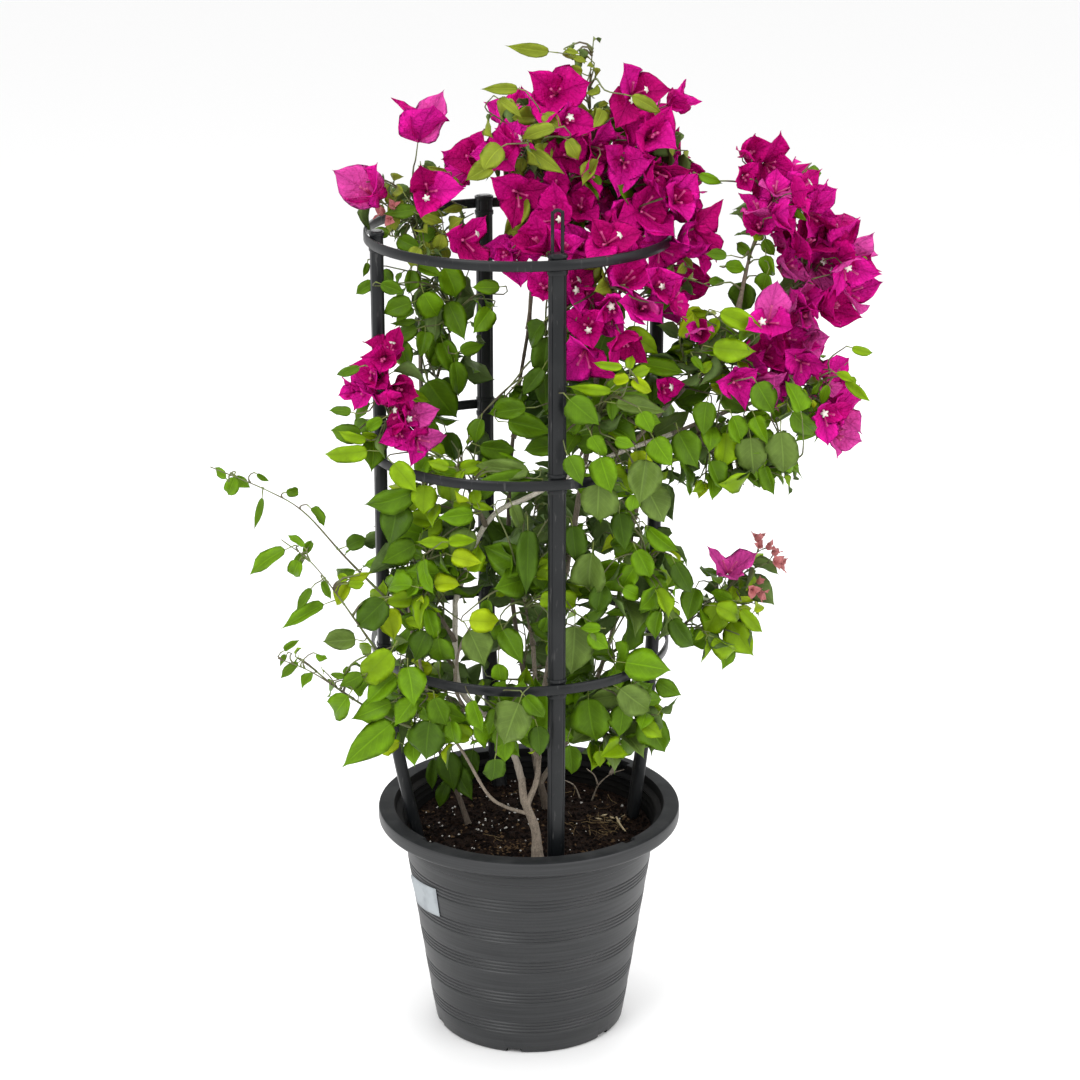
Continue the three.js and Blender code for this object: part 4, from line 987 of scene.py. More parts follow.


# Leaves that the photograph shows one by one. Each mass has the depth in millimetres where they hang, and
# each leaf the pixel of its middle, its length in pixels, the way it points in the picture in degrees from
# right to down, its tone, which is partly painted light and shade, where 6 is the greyish green of full
# leaves, partly a painted sheen, and half its width by its length.
SEEN_LEAVES = {
    "spray_left_high": (-118, [
        (220, 472, 20, 225, 2.8, 0.26), (231, 488, 25, 108, 3.0, 0.36), (242, 483, 20, 50, 3.0, 0.36),
        (263, 478, 15, 35, 2.4, 0.24), (259, 514, 34, 100, 2.2, 0.12), (294, 491, 17, 350, 2.3, 0.36),
        (319, 517, 24, 48, 2.0, 0.32), (358, 541, 27, 335, 1.3, 0.34),
    ]),
    "spray_left_mid": (-122, [
        (263, 560, 50, 155, 2.9, 0.21), (296, 540, 24, 220, 2.6, 0.22), (309, 546, 20, 300, 1.8, 0.28),
        (299, 562, 20, 112, 2.2, 0.26), (294, 570, 24, 120, 3.0, 0.42), (342, 577, 13, 200, 4.4, 0.4),
        (362, 577, 26, 357, 4.6, 0.22), (341, 594, 28, 122, 4.8, 0.36), (357, 586, 18, 20, 4.4, 0.34),
        (340, 573, 36, 172, 1.9, 0.2), (327, 590, 22, 68, 2.0, 0.26), (303, 600, 29, 125, 2.1, 0.19),
        (302, 616, 52, 152, 2.8, 0.2), (339, 641, 34, 175, 6, 0.4), (369, 616, 46, 135, 1.2, 0.38),
    ]),
    "spray_left_low": (-132, [
        (292, 645, 20, 325, 2.4, 0.26), (282, 660, 14, 130, 2.4, 0.25), (288, 671, 28, 140, 1.9, 0.19),
        (322, 657, 14, 30, 2.6, 0.4), (336, 676, 19, 182, 1.8, 0.22), (347, 669, 12, 300, 2.0, 0.3),
        (351, 681, 26, 152, 1.8, 0.4), (338, 709, 37, 128, 3.3, 0.4), (372, 670, 56, 135, 4.0, 0.31),
        (380, 689, 42, 140, 3.0, 0.37), (371, 711, 46, 158, 2.9, 0.28), (366, 744, 68, 141, 3.1, 0.27),
    ]),
    "left_blossom": (-92, [
        (343, 455, 52, 170, 3.9, 0.2), (352, 438, 30, 184, 4.2, 0.24), (372, 437, 24, 12, 4.0, 0.26),
        (372, 425, 26, 150, 3.4, 0.3), (345, 432, 34, 200, 1.6, 0.34), (374, 454, 34, 84, 1.6, 0.42),
        (340, 410, 24, 190, 1.8, 0.26), (346, 372, 30, 160, 1.5, 0.2),
    ]),
    "front_left": (-104, [
        (405, 477, 42, 48, 3.5, 0.34), (390, 504, 58, 152, 2.0, 0.29), (394, 524, 44, 100, 1.2, 0.4),
        (439, 448, 26, 22, 4.4, 0.33), (423, 500, 32, 96, 4.5, 0.43), (456, 516, 36, 172, 3.2, 0.33),
        (474, 494, 22, 250, 4.2, 0.34), (484, 506, 24, 8, 4.3, 0.2), (438, 464, 26, 196, 4.1, 0.27),
        (500, 468, 62, 187, 6, 0.19), (504, 480, 58, 176, 2.0, 0.19), (412, 452, 32, 120, 1.6, 0.36),
    ]),
    "mid_left": (-108, [
        (462, 547, 40, 112, 6, 0.37), (433, 542, 34, 186, 4.4, 0.22), (462, 540, 28, 352, 4.2, 0.3),
        (466, 560, 32, 16, 4.7, 0.33), (396, 583, 36, 190, 2.9, 0.38), (422, 572, 38, 188, 3.4, 0.42),
        (399, 600, 28, 172, 3.8, 0.4), (391, 624, 33, 76, 4.8, 0.45), (431, 626, 36, 75, 3.2, 0.29),
        (419, 646, 34, 118, 1.4, 0.4), (440, 655, 38, 84, 1.6, 0.44), (478, 648, 40, 62, 6, 0.45),
    ]),
    "mid_front": (-116, [
        (487, 622, 38, 5, 4.7, 0.35), (500, 676, 26, 82, 3.0, 0.38), (528, 562, 66, 90, 1.0, 0.2),
        (520, 520, 36, 62, 6, 0.26), (575, 545, 42, 82, 1.1, 0.35), (588, 576, 50, 100, 6, 0.46),
        (574, 650, 52, 92, 6, 0.45), (598, 642, 30, 42, 3.1, 0.34), (590, 628, 22, 182, 3.3, 0.3),
        (512, 646, 40, 60, 1.5, 0.34),
    ]),
    "mid_right": (-100, [
        (622, 532, 40, 82, 1.3, 0.36), (662, 543, 42, 48, 2.8, 0.3), (645, 565, 36, 60, 3.1, 0.37),
        (628, 578, 30, 120, 3.3, 0.38), (634, 594, 26, 30, 3.2, 0.34), (664, 603, 34, 62, 3.5, 0.42),
        (684, 580, 40, 62, 1.0, 0.28), (682, 636, 40, 60, 1.3, 0.3), (648, 666, 50, 8, 3.0, 0.36),
        (618, 680, 26, 78, 3.2, 0.36), (600, 600, 34, 96, 1.4, 0.4), (655, 625, 30, 110, 1.8, 0.36),
    ]),
    "low_left": (-136, [
        (412, 686, 42, 76, 3.3, 0.38), (426, 742, 44, 100, 1.1, 0.46), (404, 712, 34, 128, 2.8, 0.36),
        (440, 712, 34, 70, 1.9, 0.4), (452, 735, 30, 84, 2.6, 0.36),
    ]),
    "low_back_left": (8, [
        (432, 776, 36, 98, 1.3, 0.22), (449, 772, 42, 82, 1.3, 0.32), (463, 783, 36, 62, 1.0, 0.34),
        (441, 794, 32, 120, 1.4, 0.24), (470, 766, 34, 100, 0.9, 0.34),
    ]),
    "low_front": (-160, [
        (510, 725, 54, 112, 6, 0.46), (495, 772, 28, 90, 0.8, 0.48), (478, 716, 34, 70, 2.6, 0.38),
        (535, 708, 32, 50, 1.6, 0.36), (540, 742, 34, 80, 1.4, 0.34),
    ]),
    "low_right": (-96, [
        (590, 724, 52, 86, 2.0, 0.43), (637, 703, 50, 40, 6, 0.36), (622, 722, 34, 96, 2.2, 0.38),
        (572, 760, 34, 80, 2.3, 0.38), (668, 690, 30, 40, 1.5, 0.36),
    ]),
    "upper_left": (-24, [
        (366, 270, 16, 100, 1.8, 0.24), (364, 288, 22, 152, 2.2, 0.36), (388, 279, 24, 60, 2.3, 0.36),
        (392, 289, 30, 24, 2.2, 0.34), (411, 282, 25, 92, 2.5, 0.42), (397, 307, 34, 162, 2.2, 0.36),
        (431, 271, 28, 20, 3.2, 0.27), (453, 284, 38, 62, 2.9, 0.42), (485, 288, 30, 176, 2.9, 0.27),
        (432, 309, 38, 62, 3.0, 0.4), (456, 320, 44, 66, 2.4, 0.3), (482, 320, 30, 128, 3.0, 0.4),
        (403, 323, 28, 168, 1.6, 0.16), (401, 334, 38, 164, 1.8, 0.26), (423, 344, 28, 100, 1.9, 0.42),
        (403, 356, 34, 82, 1.5, 0.36), (449, 356, 34, 66, 1.8, 0.42), (472, 347, 28, 338, 1.6, 0.28),
        (459, 382, 44, 78, 2.0, 0.26), (441, 402, 50, 58, 2.2, 0.42), (416, 396, 34, 18, 3.6, 0.24),
        (430, 430, 28, 34, 2.9, 0.34), (452, 448, 34, 70, 1.4, 0.36),
    ]),
    "upper_core": (-62, [
        (506, 411, 44, 172, 1.5, 0.3), (530, 426, 46, 10, 1.6, 0.34), (532, 335, 38, 132, 1.3, 0.34),
        (545, 358, 44, 96, 1.2, 0.34), (532, 382, 36, 128, 1.4, 0.26), (546, 392, 40, 84, 1.3, 0.32),
        (476, 431, 27, 112, 1.6, 0.4), (500, 450, 42, 10, 1.5, 0.32), (540, 447, 48, 174, 2.5, 0.26),
        (600, 350, 44, 110, 0.9, 0.4), (560, 300, 34, 96, 2.4, 0.4),
    ]),
    "front_right": (-142, [
        (606, 366, 34, 182, 4.3, 0.17), (630, 361, 17, 272, 4.2, 0.34), (643, 371, 24, 346, 4.4, 0.3),
        (620, 380, 20, 172, 4.6, 0.42), (642, 386, 24, 42, 4.7, 0.34), (590, 390, 46, 182, 3.8, 0.15),
        (584, 412, 40, 40, 1.8, 0.4), (598, 448, 28, 62, 3.2, 0.38), (647, 423, 26, 62, 3.2, 0.42),
        (644, 406, 58, 6, 6, 0.2), (662, 452, 34, 60, 3.1, 0.4), (625, 443, 22, 20, 3.1, 0.34),
        (606, 475, 38, 72, 3.1, 0.45), (642, 482, 46, 100, 6, 0.48), (598, 505, 46, 92, 6, 0.48),
        (656, 505, 42, 62, 6, 0.42), (576, 470, 34, 60, 2.4, 0.36), (633, 505, 24, 100, 3.2, 0.4),
    ]),
    "upper_right": (-60, [
        (644, 342, 40, 38, 3.7, 0.3), (632, 338, 26, 100, 3.9, 0.36), (664, 368, 46, 12, 2.6, 0.3),
        (690, 392, 52, 172, 2.3, 0.34), (662, 392, 40, 140, 1.2, 0.36),
    ]),
    "right_inner": (-88, [
        (742, 322, 50, 23, 3.9, 0.25), (699, 312, 22, 186, 4.3, 0.32), (735, 350, 48, 6, 3.5, 0.28),
        (698, 364, 20, 58, 3.4, 0.24), (707, 366, 17, 312, 3.6, 0.34), (721, 379, 34, 346, 2.7, 0.3),
        (736, 402, 36, 24, 1.3, 0.42), (712, 330, 26, 120, 4.0, 0.3),
    ]),
    "right_leaves": (-94, [
        (765, 399, 38, 62, 2.4, 0.42), (796, 396, 34, 252, 3.4, 0.42), (806, 428, 46, 48, 2.0, 0.27),
        (739, 430, 34, 62, 2.7, 0.4), (726, 452, 42, 92, 4.1, 0.42), (784, 456, 50, 82, 6, 0.36),
        (752, 458, 42, 86, 6, 0.42), (688, 450, 42, 62, 2.3, 0.4), (716, 476, 36, 68, 2.1, 0.38),
        (704, 418, 34, 100, 1.8, 0.38), (760, 430, 30, 70, 2.9, 0.36), (770, 480, 30, 70, 2.2, 0.36),
    ]),
    "right_top_blossom": (-36, [
        (716, 255, 24, 184, 2.5, 0.3), (737, 267, 26, 4, 2.6, 0.3), (767, 268, 26, 84, 2.6, 0.4),
        (769, 248, 22, 60, 2.4, 0.36), (720, 281, 24, 352, 2.4, 0.22), (742, 299, 38, 92, 1.2, 0.42),
        (762, 286, 28, 112, 2.0, 0.4), (776, 295, 22, 62, 2.2, 0.36), (742, 248, 20, 220, 2.5, 0.34),
        (712, 179, 30, 16, 3.2, 0.2), (796, 214, 26, 30, 3.4, 0.24),
    ]),
    "right_low_blossom": (-62, [
        (858, 392, 34, 42, 4.0, 0.2), (846, 377, 22, 20, 3.8, 0.28), (864, 352, 26, 20, 3.8, 0.2),
        (800, 402, 30, 70, 3.9, 0.36), (824, 396, 24, 110, 3.4, 0.24),
    ]),
    "spray_right": (-36, [
        (712, 620, 40, 120, 3.6, 0.4), (741, 640, 44, 62, 4.2, 0.36), (733, 612, 38, 20, 3.9, 0.3),
        (702, 640, 40, 150, 1.9, 0.36), (752, 622, 34, 50, 4.4, 0.24), (690, 604, 36, 110, 2.0, 0.36),
        (720, 596, 28, 200, 3.2, 0.28), (727, 655, 34, 96, 3.3, 0.36),
    ]),
    "crown_top": (-30, [
        (528, 50, 44, 182, 4.2, 0.19), (573, 52, 14, 20, 3.6, 0.3), (580, 60, 16, 30, 3.2, 0.24),
        (574, 70, 18, 200, 3.9, 0.4), (583, 110, 24, 30, 3.8, 0.24), (648, 104, 42, 22, 3.6, 0.2),
        (574, 130, 30, 10, 3.4, 0.26), (567, 26, 14, 200, 3.8, 0.3), (585, 26, 14, 350, 3.8, 0.3),
    ]),
    "crown_middle": (-52, [
        (500, 88, 36, 182, 4.0, 0.2), (512, 106, 30, 30, 3.8, 0.22), (516, 122, 24, 40, 3.4, 0.3),
        (490, 156, 36, 140, 3.7, 0.42), (545, 160, 44, 35, 3.6, 0.2), (536, 132, 46, 172, 3.5, 0.2),
        (519, 213, 34, 110, 3.2, 0.44), (480, 172, 34, 150, 3.0, 0.36), (553, 236, 34, 10, 1.2, 0.48),
        (592, 186, 30, 60, 2.3, 0.38), (590, 172, 30, 120, 3.0, 0.3),
    ]),
    "crown_left": (-24, [
        (400, 212, 34, 168, 2.4, 0.24), (436, 170, 22, 190, 3.4, 0.24), (450, 180, 20, 200, 3.0, 0.24),
        (433, 220, 26, 20, 3.4, 0.26), (425, 235, 24, 160, 2.4, 0.34), (440, 246, 26, 100, 3.0, 0.34),
        (452, 210, 22, 170, 3.2, 0.26), (380, 232, 20, 200, 2.4, 0.3), (410, 245, 30, 30, 2.4, 0.36),
    ]),
}

# Clusters of bracts that it shows one by one: their depth, and each one's pixel and its radius in pixels
SEEN_BLOOMS = {
    "crown_top": (-34, [
        (553, 84, 27), (571, 119, 20), (638, 89, 28), (602, 147, 20), (645, 130, 27), (573, 153, 22),
    ]),
    "crown_middle": (-48, [
        (518, 134, 17), (522, 197, 20), (554, 188, 17), (500, 153, 20), (580, 205, 20), (515, 253, 18),
    ]),
    "crown_right": (-44, [
        (626, 163, 23), (662, 177, 24), (651, 207, 24), (680, 197, 20), (629, 226, 27), (654, 238, 20),
    ]),
    "crown_front": (-112, [
        (631, 274, 28), (664, 284, 22), (544, 287, 15), (575, 282, 20), (587, 300, 20), (645, 306, 24),
        (684, 300, 18), (612, 312, 20),
    ]),
    "crown_link": (-34, [(689, 240, 22), (713, 226, 23), (706, 250, 18), (666, 258, 20)]),
    "right_top_blossom": (-18, [
        (752, 152, 18), (774, 168, 22), (800, 182, 22), (822, 196, 20), (768, 196, 18), (745, 178, 14),
        (768, 217, 17), (787, 240, 19),
    ]),
    "right_blossom": (-28, [
        (836, 226, 25), (812, 240, 25), (852, 252, 25), (795, 262, 21), (828, 270, 27), (860, 286, 22),
        (838, 304, 25), (806, 298, 24), (820, 215, 20),
    ]),
    "right_low_blossom": (-40, [
        (792, 337, 24), (814, 343, 16), (768, 350, 21), (776, 372, 22), (834, 379, 18), (845, 410, 22),
        (842, 436, 18), (806, 318, 17), (804, 366, 17),
    ]),
    "right_inner": (-92, [(700, 332, 17), (668, 388, 14), (740, 384, 18), (770, 318, 22)]),
    "left_blossom": (-96, [(382, 360, 18), (362, 384, 18), (386, 390, 18), (396, 414, 18), (400, 434, 16)]),
}


def seen(x, y, deep):
    """The place that shows at a pixel of the photograph, and how many millimetres a pixel takes up there."""
    right, up = (x - PHOTO_MIDDLE) / FOCAL, (PHOTO_MIDDLE - y) / FOCAL
    ray = np.array([right, PITCH_COS + up * PITCH_SIN, up * PITCH_COS - PITCH_SIN])
    far = (deep - EYE[1]) / ray[1]
    return EYE + ray * far, far / FOCAL


def pixels(points):
    """Where places show in the photograph, across and down."""
    offset = points - EYE
    away = offset[:, 1] * PITCH_COS - offset[:, 2] * PITCH_SIN
    up = offset[:, 1] * PITCH_SIN + offset[:, 2] * PITCH_COS
    return PHOTO_MIDDLE + FOCAL * offset[:, 0] / away, PHOTO_MIDDLE - FOCAL * up / away


class Growth:
    """Every twig, leaf and bloom of the plant, by the rule of the solids carried to finer twigs."""

    def __init__(self):
        self.crowd = Crowd()
        self.hearts = np.zeros((0, 3))
        self.shown = np.zeros((0, 4))  # the middle and half the size of what the photograph shows
        self.twigs, self.leaves, self.blooms, self.buds, self.stalks = [], [], [], [], []
        for name, (first, last) in BARE.items():
            curve = curve_of(name)
            for place in curve.at(np.linspace(first, last, int((last - first) * curve.length / 7))):
                self.show(place, 14)

    def take(self, index, seed):
        """Turn to one mass, with its own random numbers."""
        self.index, self.name = index, NAMES[index]
        self.mass, self.dress = MASSES[self.name], DRESS[self.name]
        random = seeded(seed + SEED_STEP * index)
        self.random = lambda: next(random)
        near = (np.linalg.norm(PLACES - CENTRES[index], axis=1) < NEAR) & (OWNERS != index)
        self.places, self.radii = PLACES[near], RADII[near]
        self.full = self.dress.get("leaf", self.mass["leaf"] / LARGER * FULL_LEAF)
        self.clusters = self.dress.get("clusters", MANY)
        return curve_of(self.name)

    def shoots(self, index):
        """Grow the shoots that the photograph shows one by one."""
        stem = self.take(index, SHOOT_SEED)
        for at, tip, kind, way in SHOOTS.get(self.name, ()):
            way = unit(way)
            curve, path = self.shoot(stem, at, np.array(tip, float), way)
            if not isinstance(kind, str):
                self.bloom(path[-1], way, self.random() * 6, kind)
                self.show(path[-1] + way * HEART_OUT, 20)
            elif kind == "bud":
                for k in range(3):
                    out = unit(way + aside(way, k * 2.1) * 0.7)
                    self.buds.append((self.name, path[-1] + out * 9, out, self.random()))
                    self.stalks.append((self.name, path[-1], path[-1] + out * 9))
            else:
                for k in range(4):
                    foot = path[-1 - k // 2]
                    self.leaf(foot, way, k * 1.9 + 0.4, 1 - 0.14 * k, YOUNG_TONE - 0.25 * k, way)
            self.sparse(curve, self.dress["tone"], 24)

    def shoot(self, stem, at, tip, way):
        """A curved twig from a place along a stem to its tip, which it reaches along way."""
        base = stem.at(at)
        span = np.linalg.norm(tip - base)
        first = base + unit(stem.tangent(at) + (0, 0, 0.4)) * span * 0.3
        last = tip - way * span * 0.25
        curve = Curve([base, first * 0.7 + last * 0.3, first * 0.25 + last * 0.75, tip])
        path = curve.at(np.linspace(0, 1, max(5, int(span / 5))))
        self.twigs.append((self.name, path, 1 if span < 30 else 0))
        return curve, path

    def sparse(self, curve, tone, gap):
        """A few small leaves along a twig."""
        count = int(curve.length / gap)
        for k in range(count):
            at = 0.15 + 0.7 * (k + 0.5) / count
            self.leaf(curve.at(at), curve.tangent(at), k * GOLDEN, 0.7, tone + 0.6 * at)

    def show(self, middle, half):
        """Note a place that the photograph shows. Nothing of the rule may then stand in front of it."""
        self.shown = np.vstack([self.shown, [*middle, half]])

    def picked(self, index):
        """Place the photograph's blooms and leaves, each on a twig from the nearest part of the stem."""
        stem = self.take(index, PICKED_SEED)
        shares = np.linspace(0.1, 1, 46)
        along = stem.at(shares)

        def nearest(place):
            above = 0.5 * (along[:, 2] > place[2])
            return shares[np.argmin(np.linalg.norm(along - place, axis=1) + above)]

        deep, rows = SEEN_BLOOMS.get(self.name, (0, ()))
        for x, y, wide in rows:
            middle, step = seen(x, y, deep + self.chance(26))
            out = outward(middle - (0, 10, 0), 40)
            way = unit(TO_VIEWER * (0.1 + 0.9 * self.random()) + out * 0.6 + self.scatter(1.2))
            radius = wide * step * SEEN_BLOOM
            base = middle - way * radius * 0.6
            if near_any(self.hearts, middle, radius * 0.42):
                continue
            curve, _ = self.shoot(stem, nearest(base), base, way)
            self.bloom(base, way, self.random() * 6, radius)
            self.show(middle, radius * 0.7)
            self.sparse(curve, self.dress["tone"], 40)
        deep, rows = SEEN_LEAVES.get(self.name, (0, ()))
        for x, y, long, turn, tone, wide in rows:
            turn = math.radians(turn)
            flat = np.array([math.cos(turn), 0, 0]) - PICTURE_UP * math.sin(turn)
            for attempt in range(8):
                middle, step = seen(x, y, deep + self.chance(16) * (1 + 0.6 * attempt))
                way = unit(flat + TO_VIEWER * 0.8 * (self.random() - 0.55))
                facing = TO_VIEWER + self.scatter(0.9)
                normal = unit(facing - way * facing.dot(way))
                length = long * step * SEEN_LENGTH * (1 - 0.02 * attempt)
                start = middle - way * length * 0.47
                blade = (start, way, np.cross(way, normal), normal, length, wide * SEEN_WIDTH)
                foot = start - unit(way + self.scatter(0.5)) * length * 0.2
                if not self.fits(blade, True):
                    continue
                curve, _ = self.shoot(stem, nearest(foot), foot, unit(way + (0, 0, 0.6)))
                self.crowd.add(blade)
                self.show(middle, length * 0.5)
                self.leaves.append((self.name, blade, foot, unit(start - foot), tone, 1))
                if curve.length > 34:
                    self.sparse(curve, self.dress["tone"], 40)
                break

    def chance(self, amount):
        """A random number, up to half the amount either side of zero."""
        return amount * (self.random() - 0.5)

    def scatter(self, amount):
        """A random vector."""
        return np.array([self.chance(amount) for _ in range(3)])

    def hides(self, points):
        """Whether any point stands in front of what the photograph shows."""
        if not len(self.shown):
            return False
        level = points[:, 2] + points[:, 1] * SLOPE
        across = np.abs(points[:, 0][:, None] - self.shown[:, 0])
        up = np.abs(level[:, None] - self.shown[:, 2] - self.shown[:, 1] * SLOPE)
        in_front = points[:, 1][:, None] < self.shown[:, 1]
        return bool(((np.hypot(across, up) < self.shown[:, 3] * 0.7) & in_front).any())

    def grow(self, index):
        """Grow the rest of a mass by the rule of the solids."""
        stem = self.take(index, TWIG_SEED)
        count = self.dress.get("twigs", round(self.mass["twigs"] * MORE_TWIGS))
        for i in range(count):
            at = TWIG_FIRST + (TWIG_LAST - TWIG_FIRST) * (i + 1) / count
            last = i == count - 1
            turn = i * GOLDEN + self.random() * 0.6
            wanted = 0.7 + 0.3 * self.random()
            forward = TWIG_LAST_FORWARD if last else TWIG_FORWARD
            self.twig(stem.at(at), stem.tangent(at), forward, turn, wanted, self.blooming(at), 0)
        steps = np.linspace(0.08, 0.97, max(2, int(stem.length / self.dress.get("stem_gap", 24))))
        for k, at in enumerate(steps):
            size = 1.15 - 0.55 * at if self.name.startswith("spray_left") else 0.9
            tone = self.tone(stem.at(at)) + 1.2 * at**4
            self.leaf(stem.at(at), stem.tangent(at), k * GOLDEN + self.random(), size, tone)

    def blooming(self, at):
        """Whether the stem flowers at a share of its length."""
        first, last = self.mass.get("blooms", (2, 2))
        return first <= at <= last

    def tone(self, place):
        """A spray's green: deeper towards the middle of the cage, which is painted shade, and a little by
        chance.
        """
        out = math.hypot(place[0] - CAGE_X, place[1]) / POLE_RADIUS
        return self.dress["tone"] + 1.1 * (min(out, 1.3) - 0.8) + self.chance(1.9)

    def free(self, points, radius):
        """Whether a twig keeps to its mass and clear of what it could meet."""
        if not in_space(self.index, points, radius - TWIG_PAST, 1) or not clear_of_pot(points):
            return False
        gaps = np.linalg.norm(self.places[None] - points[:, None], axis=2)
        return bool((gaps > self.radii + radius + TWIG_ROOM).all())

    def twig(self, base, tangent, forward, turn, wanted, blooming, level, tone=None):
        """A twig that is shortened until it fits, with its leaves and blossom and, at level 0, side twigs."""
        for attempt in range(6):
            out = aside(tangent, turn + attempt * 1.1)
            way = unit(tangent * forward + out * self.mass.get("spread", 1) + (0, 0, TWIG_LIFT))
            length = (reach_of(self.index, base, way) - 8) * wanted * (1 - 0.1 * attempt)
            if length < TWIG_SHORTEST:
                continue
            share = np.linspace(0, 1, max(4, int(length / 4)))[:, None]
            bow = aside(way, turn * 3) * length * 0.07
            kink = aside(way, turn * 5) * 1.1
            path = base + way * length * share + bow * np.sin(share * math.pi)
            path = path + kink * np.sin(share * length / 9) * share
            path[:, 2] += 0.05 * length * np.sin(share[:, 0] * math.pi)
            if not self.free(path[1:], TWIG_RADIUS[0]) or in_opening(path[2:]):
                continue
            if not self.at_its_height(path):
                continue
            if self.crowd.meets(self.crowd.near(base, length), path[2:], 1.6):
                continue
            break
        else:
            return
        tone = self.tone(path[-1]) if tone is None else tone + self.chance(0.5)
        self.twigs.append((self.name, path, level))
        curve = Curve(path)
        if blooming:
            self.blossom(curve, level)
        if level == 0 and length > 34:
            side_twigs = int(length / 28)
            for i in range(side_twigs):
                at = (i + 0.8) / (side_twigs + 0.8)
                turn = i * GOLDEN + self.random() * 2
                wanted = 0.42 + 0.25 * self.random()
                self.twig(curve.at(at), curve.tangent(at), 0.9, turn, wanted, blooming, 1, tone)
        count = int(length / self.dress.get("gap", LEAF_GAP))
        last = 0.7 if blooming else 1
        for k in range(count + 1):
            at = last * (k + 0.7) / (count + 0.7)
            young = 1.5 * at**4
            turn = k * GOLDEN + self.random()
            self.leaf(curve.at(at), curve.tangent(at), turn, 1 - 0.4 * at**3, tone + young)

    def leaf(self, foot, along, turn, size, tone, ahead=None):
        """A leaf on its stalk, turned until it has room. ahead is the way that a shoot's tip faces."""
        wanted = self.full * (0.5 + 0.68 * self.random()) * size
        broad = self.dress.get("broad", 0) - self.dress.get("narrow", 0)
        wide = 0.28 + broad + 0.1 * self.random()
        for attempt in range(7):
            out = aside(along, turn + attempt * 1.3)
            droop = 0.3 + 0.6 * self.random()
            way = unit(along * 0.5 + out * (1 if ahead is None else 0.8) - np.array([0, 0, droop]))
            length = wanted * (1 - 0.06 * attempt)
            stalk_way = unit(along * 0.7 + out + (0, 0, 0.15))
            start = foot + stalk_way * length * 0.2
            facing = self.scatter(1.6) + (0, 0, 0.35)
            facing += outward(foot, 0) * 0.95 if ahead is None else ahead * 0.5
            normal = unit(facing - way * facing.dot(way))
            blade = (start, way, np.cross(way, normal), normal, length, wide)
            if self.fits(blade):
                self.crowd.add(blade)
                shade = tone + self.chance(0.6)
                self.leaves.append((self.name, blade, foot, stalk_way, shade, self.random()))
                return

    def at_its_height(self, points):
        """Whether points keep between the floor and the roof of the mass."""
        heights = points[:, 2]
        low, high = self.dress.get("floor", 0), self.dress.get("roof", ABOVE_ALL)
        return heights.max() <= high and heights.min() >= low

    def fits(self, blade, picked=False):
        """Whether a blade has room. One that the photograph shows may leave its mass's space."""
        points = spread_of(blade)
        if past_box(points) or not clear_of_pot(points):
            return False
        if not picked:
            if not in_space(self.index, points, -PAST_NEIGHBOUR, 1 + SWELL) or in_opening(points):
                return False
            if not self.at_its_height(points) or self.hides(points):
                return False
        start, way, length = blade[0], blade[1], blade[4]
        room = self.radii + LIMB_ROOM
        along, across, above, half = beside(self.places, blade)
        if ((along > -room) & (along < length + room) & (across < half + room) & (above < room)).any():
            return False
        if near_any(self.hearts, start + way * length * 0.5, HEART_ROOM):
            return False
        rows = self.crowd.near(start, length)
        if self.crowd.meets(rows, points, BLADE_ROOM):
            return False
        along, across, above, half = beside(self.crowd.spread[rows].reshape(-1, 3), blade)
        return not ((along > 0) & (along < length) & (across < half) & (above < BLADE_ROOM)).any()

    def bloom(self, base, way, turn, radius):
        """Add a cluster of bracts, with chance numbers for its shade and for how far it has opened."""
        self.hearts = np.vstack([self.hearts, base + way * HEART_OUT])
        self.blooms.append((self.name, base, way, radius, turn, self.random(), self.random()))

    def blossom(self, curve, level):
        """Clusters of bracts at a flowering twig's end and along it."""
        shares = (1, 0.8, 0.6, 0.4) if level == 0 else (1, 0.6)
        for k, at in enumerate(shares):
            foot, along = curve.at(at), curve.tangent(at)
            turn = k * GOLDEN + self.random() * 2
            lean = aside(along, turn) * (0.35 if k == 0 else 1.2)
            for attempt in range(6):
                way = along * 0.8 + lean + aside(along, turn + attempt * 2) * 0.3 * attempt
                way = unit(way + outward(foot, 40) * 0.5)
                radius = (26 + 8 * self.random()) * (1.04 - 0.04 * attempt)
                stalk = 6 + 8 * self.random()
                base = foot + way * stalk
                heart = base + way * HEART_OUT
                if self.clusters < 1 or heart[2] > self.dress.get("top", ABOVE_ALL):
                    continue
                if not in_space(self.index, np.array([base, heart]), -8, 1 + SWELL):
                    continue
                around = [aside(way, turn + a * math.pi / 3) for a in range(6)]
                rim = np.array([heart + out * radius * 0.85 for out in around])
                if past_box(rim) or in_opening(rim):
                    continue
                if near_any(self.hearts, heart, radius * BLOOM_SPACING):
                    continue
                gaps = np.linalg.norm(self.places - heart, axis=1)
                if (gaps < self.radii + radius * 0.4).any():
                    continue
                if self.crowd.meets(self.crowd.near(heart, radius), heart[None], radius * 0.3):
                    continue
                if self.hides(heart[None]):
                    continue
                self.clusters -= 1
                self.bloom(base, way, turn, radius)
                self.stalks.append((self.name, foot, base))
                break


# Blades: leaves and bracts as closed sheets in their own outline


def leaf_outline(u, sharp):
    return np.sin(math.pi * u ** (0.66 + 0.06 * sharp)) ** (0.68 + (1.5 + 0.7 * sharp) * u**3)


def bract_outline(u, sharp):
    return np.sin(math.pi * u ** (0.72 + 0.05 * sharp)) ** (0.56 + (1.4 + 0.5 * sharp) * u**3)


